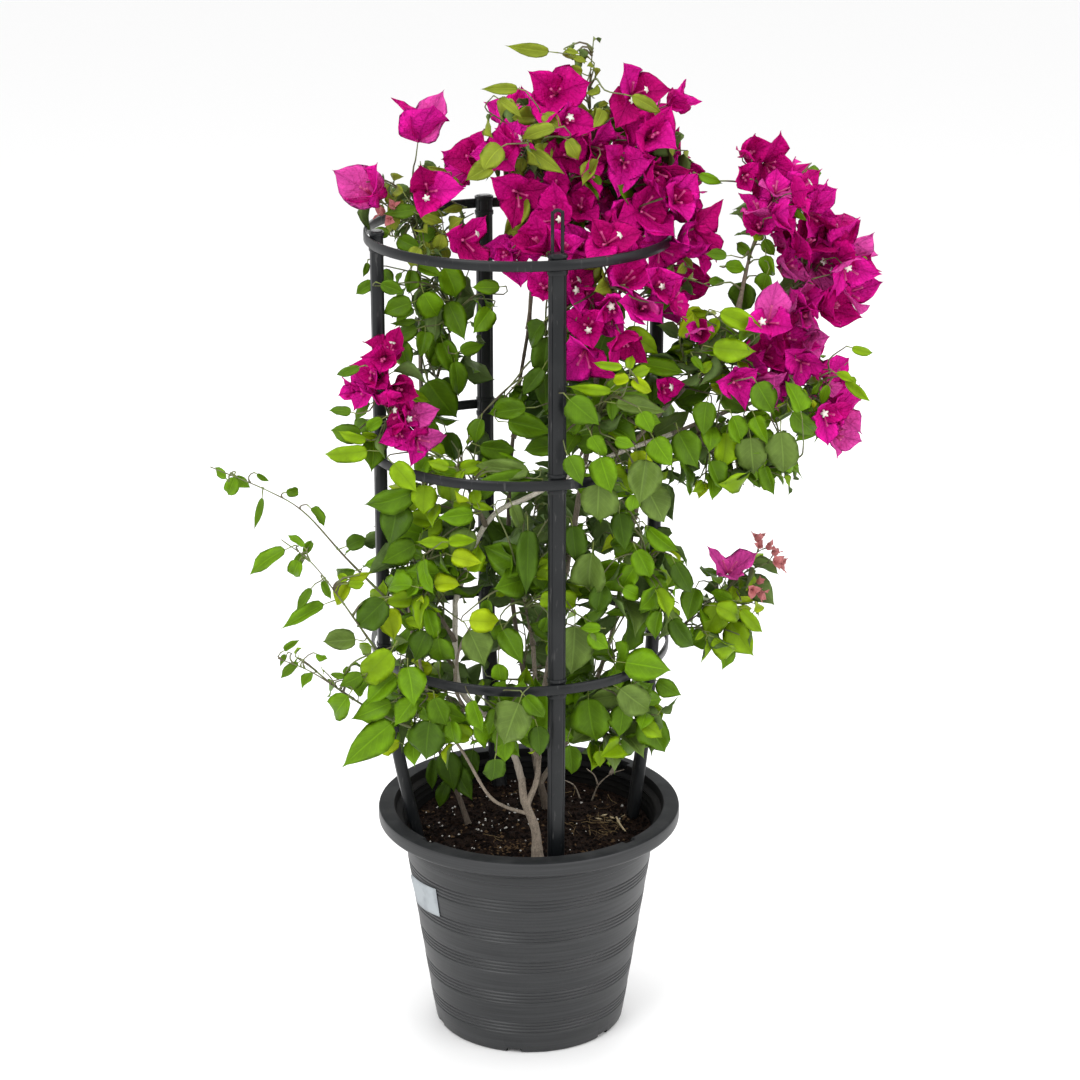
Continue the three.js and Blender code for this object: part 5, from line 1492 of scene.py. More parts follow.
# Each kind of blade: its rows along and columns across, its outline, how its sides rise from the midrib,
# which is keel, the wave of its edge, the crinkle of its face and its thickness in millimetres, and its twist
LEAF = dict(
    rows=np.array([0.05, 0.15, 0.29, 0.45, 0.61, 0.76, 0.88, 0.96]),
    columns=np.array([-1, -0.6, -0.24, 0, 0.24, 0.6, 1]),
    outline=leaf_outline, keel=1, wave=0.24, crinkle=0.4, twist=0.6, thick=0.35,
)
BRACT = dict(
    rows=np.array([0.04, 0.12, 0.23, 0.36, 0.5, 0.64, 0.77, 0.88, 0.96]),
    columns=np.array([-1, -0.74, -0.46, -0.2, 0, 0.2, 0.46, 0.74, 1]),
    outline=bract_outline, keel=1.7, wave=0.26, crinkle=1.0, twist=0.3, thick=0.3,
)


def sheet_faces(rows, columns):
    """Triangles of the upper and of the lower side of a closed blade: foot, tip, upper grid, lower grid."""
    upper = 2 + np.arange(rows * columns).reshape(rows, columns)
    inner = 2 + rows * columns + np.arange(rows * (columns - 2)).reshape(rows, columns - 2)
    lower = np.hstack([upper[:, :1], inner, upper[:, -1:]])

    def side(grid):
        a, b, c, d = grid[:-1, :-1], grid[:-1, 1:], grid[1:, 1:], grid[1:, :-1]
        left = np.arange(columns - 1)[None] + 0 * a < (columns - 1) / 2
        halves = [joined(a, b, np.where(left, c, d)), joined(np.where(left, a, b), c, d)]
        foot, tip = joined(0, grid[0, 1:], grid[0, :-1]), joined(1, grid[-1, :-1], grid[-1, 1:])
        return np.vstack([*halves, foot, tip])

    return side(upper), side(lower)[:, ::-1]


def blades(placed, bend, fold, rng, rows, columns, outline, keel, wave, crinkle, twist, thick):
    """Vertices and UVs of many blades at once. placed holds foot, way, side, normal, length, wide."""
    foot, way, side, normal, length, wide = placed
    n = len(foot)
    u = rows[None, :, None]
    v = columns[None, None, :]
    phase = rng.uniform(0, 6.3, n)[:, None, None]
    length = length[:, None, None]
    bend = np.where(np.abs(bend) < 0.02, 0.02, bend)[:, None, None]
    lopsided = 1 + rng.uniform(-0.09, 0.09, n)[:, None, None] * np.sign(v)
    half = wide[:, None, None] * length * outline(u, rng.uniform(-1, 1, n)[:, None, None]) * lopsided
    fold = fold[:, None, None]
    lift = fold * np.abs(v) ** keel * half + 0.02 * half * np.sin(np.abs(v) * math.pi)
    lift = lift + rng.uniform(-twist, twist, n)[:, None, None] * v * u * half
    lift = lift + wave * half * np.abs(v) ** 3 * np.sin(u * 9 + phase + np.sign(v) * 1.7)
    folds = np.sin(u * 11 + phase * 3 + v * 2.2) * np.cos(v * 4.4 + phase * 2 + u * 5)
    lift = lift + crinkle * folds * (1 - 0.5 * v**2)
    sway = rng.uniform(-0.09, 0.09, n)[:, None, None] * length * u**2
    turn = bend * u
    run = length * np.sin(turn) / bend + lift * np.sin(turn)
    rise = -length * (1 - np.cos(turn)) / bend + lift * np.cos(turn)
    across = half * v * np.cos(np.arctan(fold)) + sway

    def place(run, across, rise):
        shape = run[..., None] * way[:, None, None] + across[..., None] * side[:, None, None]
        return foot[:, None, None] + shape + rise[..., None] * normal[:, None, None]

    upper = place(run + 0 * v, across, rise)
    deep = thick * (1 - np.abs(v) ** 2) * np.sin(math.pi * np.clip(u, 0.12, 0.88))
    lower = place(run - deep * np.sin(turn), across, rise - deep * np.cos(turn))[:, :, 1:-1]
    end, reach = bend[:, 0, 0], length[:, 0, 0]
    tip = foot + (reach * np.sin(end) / end)[:, None] * way + sway[:, -1, 0:1] / rows[-1] ** 2 * side
    tip = tip - (reach * (1 - np.cos(end)) / end)[:, None] * normal
    vertices = np.concatenate(
        [foot[:, None], tip[:, None], upper.reshape(n, -1, 3), lower.reshape(n, -1, 3)], 1
    )
    grid = np.stack(np.meshgrid(0.5 + 0.5 * columns, rows), -1)
    uv = np.vstack([[[0.5, 0], [0.5, 1]], grid.reshape(-1, 2), grid[:, 1:-1].reshape(-1, 2)])
    return vertices, uv


def add_blades(build, kind, placed, bend, fold, rng, top_looks, under_looks):
    """Add blades of a kind, with a look for the upper and for the lower side of each."""
    vertices, uv = blades([np.array(row) for row in placed], bend, fold, rng, **kind)
    n, size = vertices.shape[:2]
    groups, looks = [], []
    sides = sheet_faces(len(kind["rows"]), len(kind["columns"]))
    for faces, look in zip(sides, (top_looks, under_looks)):
        groups.append((faces[None] + np.arange(n)[:, None, None] * size).reshape(-1, 3))
        looks.append(np.repeat(look, len(faces)))
    build.add(vertices.reshape(-1, 3), groups, looks, np.tile(uv, (n, 1)))


REGIONS = {
    "low": ("low",), "middle": ("mid", "front"), "upper": ("upper",), "crown": ("crown", "left_blossom"),
    "right": ("right",), "spray": ("spray",),
}
LEAF_SEED, BRACT_SEED, LITTER_SEED = 11, 31, 5
STAR_POINTS = 20  # around the edge of a flower's star
STALK_RADII = [0.75, 0.6, 0.52, 0.5, 0.42]
# The last green, that of some full leaves, is greyish partly from a painted sheen of glare
OLIVE, MATURE_PAINTED_SHEEN = len(GREENS) - 2, len(GREENS) - 1  # shoots of the crown, and some full leaves
UNDER, STALK = len(GREENS), len(GREENS) + 1
STAR, TUBE, BUD = len(MAGENTAS), len(MAGENTAS) + 1, len(MAGENTAS) + 2


def leaf_piece(region, leaves, looks, replaced):
    """The leaves of a region on their stalks."""
    build = Build()
    rng = np.random.default_rng(LEAF_SEED + list(REGIONS).index(region))
    n = len(leaves)
    shades = []
    for name, blade, _, _, tone, pick in leaves:
        mature = tone > 5.5 or (0.7 < tone < 2.7 and pick < 0.15 and blade[4] > 32)
        shade = int(np.clip(round(tone), 0, OLIVE - 1))
        if name.startswith("crown") and shade > 2:
            shade = OLIVE
        shades.append(MATURE_PAINTED_SHEEN if mature else shade)
    placed = zip(*[leaf[1] for leaf in leaves])
    bends, folds = rng.uniform(0.05, 1.15, n), rng.uniform(0.1, 0.72, n)
    add_blades(build, LEAF, placed, bends, folds, rng, np.array(shades), np.full(n, UNDER))
    for _, blade, foot, stalk_way, _, _ in leaves:
        start, way, _, normal = blade[:4]
        half = foot + stalk_way * np.linalg.norm(start - foot) * 0.5
        path = Curve([foot, half, start - normal * 0.3, start + way * 1.5])
        build.rod(path.at(np.linspace(0, 1, len(STALK_RADII))), STALK_RADII, 5, STALK)
    build.make(f"leaves_{region}", "foliage", looks, replaced)


def flower(build, base, way, length, size, star):
    """The small tube flower on a bract, with its five-lobed star, or a bud where star is false."""
    path = base + way * length * np.array([0.05, 0.45, 0.8, 1])[:, None]
    build.rod(path, np.array([0.8, 1.05, 0.9, 1.2 if star else 1.5]) * size, 6, TUBE)
    if not star:
        return
    angles = np.arange(STAR_POINTS) * 2 * math.pi / STAR_POINTS
    first = aside(way, 0)
    second = np.cross(way, first)
    lobe = 0.5 + 0.5 * np.cos(angles * 5)
    lobes = (2.0 + 2.3 * lobe**0.7) * size
    rim = path[-1] + (np.cos(angles) * lobes)[:, None] * first + (np.sin(angles) * lobes)[:, None] * second
    rim = rim + way * (1.5 - 0.7 * lobe)[:, None]
    middles = [path[-1] + way * 0.7, path[-1] - way * 0.4]
    k = np.arange(STAR_POINTS)
    n = (k + 1) % STAR_POINTS
    faces = np.vstack([joined(STAR_POINTS, k, n), joined(STAR_POINTS + 1, n, k)])
    build.add(np.vstack([rim, middles]), [faces], STAR)


def blossom_piece(region, blooms, buds, looks, replaced):
    """The bracts of a region with their small flowers, and its buds."""
    build = Build()
    rng = np.random.default_rng(BRACT_SEED + list(REGIONS).index(region))
    bracts = []

    def bract(start, direction, inward, length, wide, shade, fold, bend):
        side = np.cross(direction, inward)
        bracts.append((start, direction, side, inward, length, wide, shade, fold, bend))

    for _, base, way, radius, turn, pick, age in blooms:
        # Shades fall by chance; those on the right are dealt lighter ones as painted light, and those of the
        # spray are soft pink
        shade = 0.3 + 2 * pick + {"right": 0.5, "spray": 3}.get(region, 0)
        opening = 0.28 + 0.7 * age
        for k in range(3):
            out = aside(way, turn + k * 2 * math.pi / 3 + rng.uniform(-0.25, 0.25))
            lean = opening + rng.uniform(-0.15, 0.25)
            direction = unit(way * math.cos(lean) + out * math.sin(lean))
            inward = unit(way * math.sin(lean) - out * math.cos(lean))
            start = base + out * 0.7
            length = radius * rng.uniform(1.14, 1.42)
            look = int(np.clip(round(shade + 0.55 * rng.normal()), 0, 3))
            wide, fold, bend = rng.uniform(0.39, 0.47), rng.uniform(0.1, 0.5), rng.uniform(-0.35, 0.9)
            bract(start, direction, inward, length, wide, look, fold, bend)
            star = age > 0.3 and rng.uniform() < 0.1
            tall, size = length * rng.uniform(0.4, 0.52), rng.uniform(0.8, 1.05)
            flower(build, start + inward * 1.8, unit(direction + inward * 0.3), tall, size, star)
    for _, base, way, pick in buds:
        for k in range(3):
            out = aside(way, k * 2 * math.pi / 3 + pick * 6)
            direction = unit(way + out * (0.35 + 0.3 * pick))
            inward = unit(way * 0.5 - out)
            inward = unit(inward - direction * inward.dot(direction))
            bract(base, direction, inward, 9 + 5 * pick, 0.34, BUD, 0.4, 0.3)
    *placed, shades, folds, bends = (np.array(row) for row in zip(*bracts))
    add_blades(build, BRACT, placed, bends, folds, rng, shades, shades)
    build.make(f"blossom_{region}", "blossom", looks, replaced)


def twig_piece(region, growth, looks, replaced):
    """The stems of a region's masses with their twigs and flower stalks."""
    build = Build()
    for name in replaced:
        curve = curve_of(name)
        share = np.linspace(0, 1, int(curve.length / 4))
        slim = 0.8 if name.startswith("spray") or name == "crown_top" else 1
        radius = stem_radius(share) * slim * (1 + 0.07 * np.sin(share * curve.length / 4))
        radius = radius + 1.1 * slim * np.exp(-share * curve.length / 5)
        radius = radius * np.clip(1.25 - share, 0.5, 1)
        build.rod(curve.at(share), radius, 8, 1 if slim < 1 else 0)
    for name, path, level in growth.twigs:
        if name in replaced:
            share = np.linspace(0, 1, len(path))
            root = TWIG_RADIUS[0] if level == 0 else 0.8
            radius = root + (TWIG_RADIUS[1] - root) * share + 0.5 * np.exp(-share * 12)
            build.rod(path, radius, 6, 1)
    for name, foot, base in growth.stalks:
        if name in replaced:
            middle = (foot + base) / 2 + unit(base - foot)[::-1] * 0.6
            build.rod([foot, middle, base], [0.7, 0.5, 0.8], 5, 1)
    build.make(f"twigs_{region}", "bark", looks, replaced)


def dry_piece(look):
    """Bare dry canes and twiglets, tapered and a little knotted."""
    build = Build()
    for points in DRY:
        curve = Curve(points)
        share = np.linspace(0, 1, int(curve.length / 3))
        thick = 1.9 if points[0][2] > SOIL_TOP + 30 else 0.9
        wobble = 1 + 0.12 * np.sin(share * curve.length / 3.1)
        build.rod(curve.at(share), (thick - thick * 0.45 * share) * wobble, 8)
    build.make("dry_twigs", "bark", [look])


def foliage():
    """Everything that grows: each region's twigs, leaves and blossom, in the place of its masses."""
    growth = Growth()
    flowering_first = sorted(range(len(NAMES)), key=lambda i: "blooms" not in MASSES[NAMES[i]])
    for index in flowering_first:
        growth.shoots(index)
        growth.picked(index)
    for index in flowering_first:
        growth.grow(index)
    leaf_looks = []
    for name, color in GREENS.items():
        vein = scaled(color, 0.62 if name in ("leaf_lime", "leaf_yellow") else 1.4)
        leaf_looks.append(blade_look(name, color, vein, 0.46, shine=0.13))
    leaf_looks.append(blade_look("leaf_underside", UNDERSIDE, scaled(UNDERSIDE, 1.35), 0.6, shine=0.08))
    leaf_looks.append(plain("petiole", PETIOLE, 0.55))
    bract_looks = [
        blade_look(name, color, scaled(color, 0.6), 0.7, veins=6, shine=0.06, crinkle=1.0)
        for name, color in MAGENTAS.items()
    ]
    bract_looks.append(plain("flower_white", (0.86, 0.84, 0.74), 0.5))
    bract_looks.append(plain("flower_tube", (0.5, 0.05, 0.2), 0.6))
    bract_looks.append(plain("bud_pink", (0.50, 0.17, 0.17), 0.7))
    green = mottled(
        "green_stem", (0.10, 0.12, 0.035), (0.085, 0.068, 0.036),
        [((0.13, 0.17, 0.045), 70, 2, 0.35, 0.65)], roughness=0.6,
    )
    stem_looks = [bark_look("cane_bark", (0.21, 0.17, 0.125), (0.10, 0.08, 0.055)), green]
    for region, starts in REGIONS.items():
        names = [name for name in NAMES if name.startswith(starts)]
        grown = growth.leaves, growth.blooms, growth.buds
        leaves, blooms, buds = ([row for row in rows if row[0] in names] for rows in grown)
        flowering = [name for name in names if any(bloom[0] == name for bloom in blooms)]
        twig_piece(region, growth, stem_looks, names)
        leaf_piece(region, leaves, leaf_looks, names)
        if blooms:
            blossom_piece(region, blooms, buds, bract_looks, flowering)
    dry_piece(bark_look("dry_bark", (0.36, 0.30, 0.235), (0.20, 0.16, 0.12)))


def bark_look(name, light, dark, young=None):
    """Bark in two tones; young gives the two of the limb's foot, which fade out above the pot."""
    made = plain(name, light, 0.85)
    coords = object_coords(made)
    streaks = spots(made, coords, 90, 4, 0.3, 0.7, (5, 5, 1))
    grains = spots(made, coords, 500, 3, 0.42, 0.7, (3, 3, 1))
    color = blend(made, streaks, dark, light)
    color = blend(made, grains, color, scaled(light, 1.25))
    if young:
        height = node(made, "ShaderNodeSeparateXYZ", {"Vector": coords}).outputs[2]
        aged = node(made, "ShaderNodeMapRange", {"Value": height, "From Min": 0.27, "From Max": 0.42})
        color = blend(made, aged.outputs[0], blend(made, streaks, young[1], young[0]), color)
    link(made, color, "Base Color")
    rough(made, streaks, 0.95, 0.75)
    bump(made, grains, 0.5, 0.0006)
    return made


LIMB_SIDES = 20
KNOT_GAP = 25
SHADED_LIMBS = ("left_stem", "rear_trunk", "back_cane")
SLIMMER = {"trunk": 0.82, "side_branch": 0.7, "left_stem": 0.75, "rear_trunk": 0.9}


def bark_relief(along, number):
    """What scales a limb's radius by ring and angle: two sizes of noise, and a knot every 25 mm."""
    relief = np.ones((len(along), LIMB_SIDES))
    for i, s in enumerate(along):
        for k in range(LIMB_SIDES):
            angle = k * 2 * math.pi / LIMB_SIDES
            ring = (math.cos(angle) * 1.5, math.sin(angle) * 1.5)
            coarse = noise.noise(Vector((ring[0], ring[1], s / 22 + 9 * number)))
            fine = noise.noise(Vector((ring[0] * 3, ring[1] * 3, s / 12 + 9 * number)))
            relief[i, k] += 0.10 * coarse + 0.05 * fine
    knots = 0.12 * np.exp(-(((along + 6 * number) % KNOT_GAP - 12) / 2.0) ** 2)
    return relief + knots[:, None]


def limbs():
    """Trunk, boughs and canes with the relief of their bark, each in the place of its solid."""
    trunk_tones = (0.27, 0.222, 0.172), (0.135, 0.108, 0.082)
    pale = bark_look("trunk_bark", *trunk_tones)
    bleached = bark_look("bough_bark", (0.80, 0.74, 0.64), (0.55, 0.49, 0.40), trunk_tones)
    # The darker bark of the limbs at the back and inside is painted shade
    brown = bark_look("rear_bark_painted_shade", (0.12, 0.094, 0.07), (0.06, 0.046, 0.034))
    for number, (name, row) in enumerate(LIMBS.items()):
        curve = curve_of(name)
        share = np.linspace(0, 1, int(curve.length / 1.8))
        radius = limb_radius(name, share) * SLIMMER.get(name, 1)
        along = share * curve.length
        if "on" in row:
            carrier = limb_radius(row["on"], row["at"]) * SLIMMER.get(row["on"], 1)
            swell = carrier - radius[0] if row["at"] == 1 else 0.35 * radius[0]
            radius = radius + swell * np.exp(-along / 7)
        path = curve.at(share)
        if "foot" in row:
            path = np.vstack([path[0] - curve.tangent(0) * 4, path])
            radius = np.concatenate([radius[:1] * 1.05, radius])
            along = np.concatenate([[-4], along])
        build = Build()
        build.rod(path, radius, LIMB_SIDES, relief=bark_relief(along, number))
        look = brown if name in SHADED_LIMBS else bleached if name in BARE else pale
        build.make(f"limb_{name}", "bark", [look], [name])


# Pot, label and soil


def wall_radius(z):
    return BASE + (SHOULDER - BASE) * z / SHOULDER_HEIGHT


def pot_profile():
    """The pot's section, from the middle of its underside round the rim to the middle of its floor."""
    rows = [(0, 0), (BASE - 5, 0), (BASE - 1.5, 0.6), (BASE, 2.4)]
    for middle in reversed(GROOVE_BANDS):
        rows.append((wall_radius(middle - 9) + 0.1, middle - 9))
        for k in range(GROOVES):
            z = middle + (k - (GROOVES - 1) / 2) * GROOVE_PITCH
            out = wall_radius(z)
            rows += [(out, z - 1.25), (out - GROOVE_DEPTH * 0.55, z - 0.6), (out - GROOVE_DEPTH, z)]
            rows += [(out - GROOVE_DEPTH * 0.35, z + 0.5), (out + 0.15, z + 1.1)]
        rows.append((wall_radius(middle + 9) - 0.1, middle + 9))
    seam = 197
    rows += [(wall_radius(seam - 1.2), seam - 1.2), (wall_radius(seam) + 0.8, seam - 0.3)]
    rows += [(wall_radius(seam) + 0.9, seam + 0.7), (SHOULDER - 0.6, SHOULDER_HEIGHT - 2)]
    lip = POT_HEIGHT - LIP
    curl = [
        (SHOULDER + 2, SHOULDER_HEIGHT + 1), (SHOULDER + 9, SHOULDER_HEIGHT + 4.6), (RIM - 6, lip - 2.2),
        (RIM - 1.6, lip - 1), (RIM - 0.3, lip + 0.6), (RIM, lip + 2.4), (RIM, POT_HEIGHT - 3.4),
        (RIM - 0.5, POT_HEIGHT - 1.4), (RIM - 1.8, POT_HEIGHT - 0.3), (RIM - 3.4, POT_HEIGHT),
        (MOUTH + 3, POT_HEIGHT),
        (MOUTH + 1, POT_HEIGHT - 0.5), (MOUTH, POT_HEIGHT - 2), (MOUTH - 1.2, POT_HEIGHT - 8),
    ]
    rows += curl
    for z in (221, 215, 209):
        inner = wall_radius(SHOULDER_HEIGHT) - WALL + 5.5 * (z - SHOULDER_HEIGHT) / 26
        rows += [(inner + 0.8, z + 1.6), (inner - 0.7, z), (inner + 0.4, z - 1.6)]
    rows += [(wall_radius(SHOULDER_HEIGHT) - WALL, SHOULDER_HEIGHT - 1)]
    rows += [(wall_radius(z) - WALL, z) for z in (150, 80, FLOOR)]
    return [*rows, (0, FLOOR)]


def cutters():
    """Boxes for the drain notches under the pot and the slots in its rim, as one mesh."""
    build = Build()
    corners = np.array([(x, y, z) for x in (-1, 1) for y in (-1, 1) for z in (-1, 1)], float)
    faces = [[0, 1, 3, 2], [4, 6, 7, 5], [0, 4, 5, 1], [2, 3, 7, 6], [0, 2, 6, 4], [1, 5, 7, 3]]

    def box(count, offset, radius, sizes, z):
        for i in range(count):
            angle = (i + offset) * 2 * math.pi / count
            placed = corners * np.array(sizes) / 2 + (radius, 0, z)
            x = placed[:, 0] * math.cos(angle) - placed[:, 1] * math.sin(angle)
            y = placed[:, 0] * math.sin(angle) + placed[:, 1] * math.cos(angle)
            build.add(np.stack([x, y, placed[:, 2]], -1), [faces])

    box(DRAINS, 0.35, BASE - 4, (20, 15, 9), 0)
    box(RIM_SLOTS, 0.5, MOUTH + 3, (7, 14, 20), POT_HEIGHT)
    return build


def pot_looks():
    """The looks of the pot's wall, of the top of its rim and of its inside, in the order of pot_part. The
    inside is a darker plastic, which is painted shade.
    """
    outside = mottled(
        "pot_plastic", POT_BLACK, (0.013, 0.014, 0.015),
        [((0.020, 0.021, 0.022), 9, 4, 0.3, 0.75), ((0.030, 0.031, 0.033), 14, 5, 0.4, 0.7, (0.6, 0.6, 40))],
        roughness=0.5, shine=0.4, worn=(0.38, 0.52), relief=(0.12, 0.0003), grain=(900, 2, 0.3, 0.7),
    )
    top = mottled(
        "pot_rim", POT_BLACK, (0.014, 0.015, 0.016), [((0.032, 0.033, 0.034), 30, 5, 0.45, 0.75)],
        roughness=0.7, shine=0.12,
    )
    # The inside of the pot and the undersides of its notches: a darker plastic, painted shade
    inside = mottled(
        "pot_inside_painted_shade", (0.006, 0.006, 0.006), (0.004, 0.004, 0.004),
        [((0.012, 0.011, 0.010), 26, 5, 0.4, 0.75, (1, 1, 2))], roughness=0.75, shine=0.08,
    )
    return [outside, top, inside]


def pot_part(face):
    """Whether a face of the pot is outside, 0, on top of the rim, 1, or inside and under the pot, 2, where
    the darker plastic is painted shade.
    """
    radius, z = math.hypot(*face.center[:2]) / MM, face.center[2] / MM
    outward = math.hypot(*face.normal[:2])
    outward *= 1 if Vector(face.center[:2]).dot(Vector(face.normal[:2])) > 0 else -1
    mouth = z > SHOULDER_HEIGHT and radius < MOUTH + 0.5 and outward < 0.2 and face.normal[2] > -0.3
    if mouth or (z > 10 and radius < wall_radius(z) - 0.7 * WALL) or (z < FLOOR and radius < BASE - 0.8):
        return 2
    return 1 if z > POT_HEIGHT - 2 and face.normal[2] > 0.7 else 0


def pot():
    build = Build()
    build.add(*lathe(pot_profile(), POT_SIDES))
    looks = pot_looks()
    made = build.make("pot_body", "pot_plastic", looks, ["pot"])
    tool = cutters().make("cutters", "pot_plastic", looks[:1], smooth=False)
    cut = made.modifiers.new("slots", "BOOLEAN")
    cut.operation, cut.solver, cut.object = "DIFFERENCE", "EXACT", tool
    graph = bpy.context.evaluated_depsgraph_get()
    mesh = bpy.data.meshes.new_from_object(made.evaluated_get(graph))
    made.modifiers.clear()
    made.data = mesh
    bpy.data.objects.remove(tool)
    for face in mesh.polygons:
        face.use_smooth = True
        face.material_index = pot_part(face)
    mesh.set_sharp_from_angle(angle=math.radians(38))


def label():
    """The bare label on the left of the wall. The top of its far edge curls away a little."""
    rows, columns = 9, 25
    first, last, low, high, tilt = -138.5, -165, 141, 172.5, 7
    gap, thick = 0.55, 0.25
    grid = []
    for side in (gap + thick, gap):
        for i in range(rows):
            for k in range(columns):
                share = k / (columns - 1)
                z = low + (high - low) * i / (rows - 1) - tilt * share
                curl = 0.9 * max(0, share - 0.86) * (i / (rows - 1)) * 14
                angle = math.radians(first + (last - first) * share)
                radius = wall_radius(z) + side + curl
                grid.append((radius * math.cos(angle), radius * math.sin(angle), z))
    outer = np.arange(rows * columns).reshape(rows, columns)
    inner = outer + rows * columns
    front = joined(outer[:-1, :-1], outer[1:, :-1], outer[1:, 1:], outer[:-1, 1:])
    back = joined(inner[:-1, :-1], inner[:-1, 1:], inner[1:, 1:], inner[1:, :-1])
    loop = np.concatenate([outer[0, :-1], outer[:-1, -1], outer[-1, :0:-1], outer[:0:-1, 0]])
    after = np.roll(loop, -1)
    edge = joined(loop, after, after + rows * columns, loop + rows * columns)
    build = Build()
    build.add(grid, [front, back, edge])
    look = mottled(
        "label_paper", (0.36, 0.39, 0.41), (0.37, 0.40, 0.42), [((0.24, 0.26, 0.28), 60, 4, 0.45, 0.75)],
        roughness=0.6, shine=0.2, relief=(0.15, 0.0004),
    )
    build.make("label", "pot_plastic", [look])


def soil_height(x, y):
    """The surface of the potting mix, a little heaped and crumbly."""
    broad = noise.noise(Vector((x / 45, y / 45, 3)))
    small = noise.noise(Vector((x / 13, y / 13, 7)))
    crumb = noise.noise(Vector((x / 4, y / 4, 11)))
    return SOIL_TOP + 2.6 * broad + 1.6 * small + 1.1 * crumb


def soil():
    """The bed of potting mix, down to a flat underside that is out of sight, and what lies on it."""
    rings, sides = 60, 150
    edge = wall_radius(SOIL_TOP) - WALL - 0.6
    under = SOIL_TOP - 30
    vertices = [(0, 0, soil_height(0, 0))]
    for i in range(1, rings + 1):
        radius = edge * i / rings
        for k in range(sides):
            angle = 2 * math.pi * k / sides
            x, y = radius * math.cos(angle), radius * math.sin(angle)
            vertices.append((x, y, soil_height(x, y)))
    rim, bottom = 1 + (rings - 1) * sides, len(vertices)
    angles = np.arange(sides) * 2 * math.pi / sides
    vertices += [(0.97 * edge * math.cos(a), 0.97 * edge * math.sin(a), under) for a in angles]
    vertices.append((0, 0, under))
    i = 1 + np.arange(rings - 1)[:, None] * sides
    k = np.arange(sides)
    n = (k + 1) % sides
    top = [joined(0, 1 + k, 1 + n), joined(i + k, i + sides + k, i + sides + n, i + n)]
    skirt = joined(rim + k, bottom + k, bottom + n, rim + n)
    build = Build()
    build.add(vertices, [*top, skirt, joined(bottom + sides, bottom + n, bottom + k)])
    look = mottled(
        "potting_mix", (0.012, 0.007, 0.005), (0.003, 0.0015, 0.001),
        [((0.013, 0.0065, 0.004), 120, 5, 0.35, 0.65), ((0.030, 0.015, 0.009), 520, 4, 0.4, 0.65)],
        roughness=0.95, shine=0.1, relief=(0.9, 0.002),
    )
    build.make("soil_bed", "soil", [look], ["soil"])
    litter(edge)


# Dry husks on the potting mix, as the photo shows them: place, turn and size
HUSKS = [
    (76, 24, 0.4, 5), (84, 20, 2.2, 6), (90, 12, 1.2, 5), (80, 12, 0.1, 4), (70, 16, 2.8, 4),
    (95, 22, 0.8, 4),
]
STICK = [(88, 16, SOIL_TOP + 4), (91, 2, SOIL_TOP + 3), (96, -14, SOIL_TOP + 2)]
LUMP = np.array([(1, 0, 0), (0, 1, 0), (-1, 0, 0), (0, -1, 0), (0, 0, 1), (0, 0, -1)], float)
LUMP_FACES = [[0, 1, 4], [1, 2, 4], [2, 3, 4], [3, 0, 4], [1, 0, 5], [2, 1, 5], [3, 2, 5], [0, 3, 5]]


def pebble(rng, size, flat=1.0):
    """A small irregular lump of six corners."""
    corners = LUMP * (rng.uniform(0.7, 1.3, (6, 1)) * size / 2 * np.array([1, 1, flat]))
    tilt = unit(rng.normal(size=3))
    return corners + np.cross(tilt, corners) * rng.uniform(-0.6, 0.6)


def grainy(name, color):
    layers = [(scaled(color, 0.7), 800, 2, 0.4, 0.6)]
    return mottled(name, color, color, layers, roughness=0.9, shine=0.1)


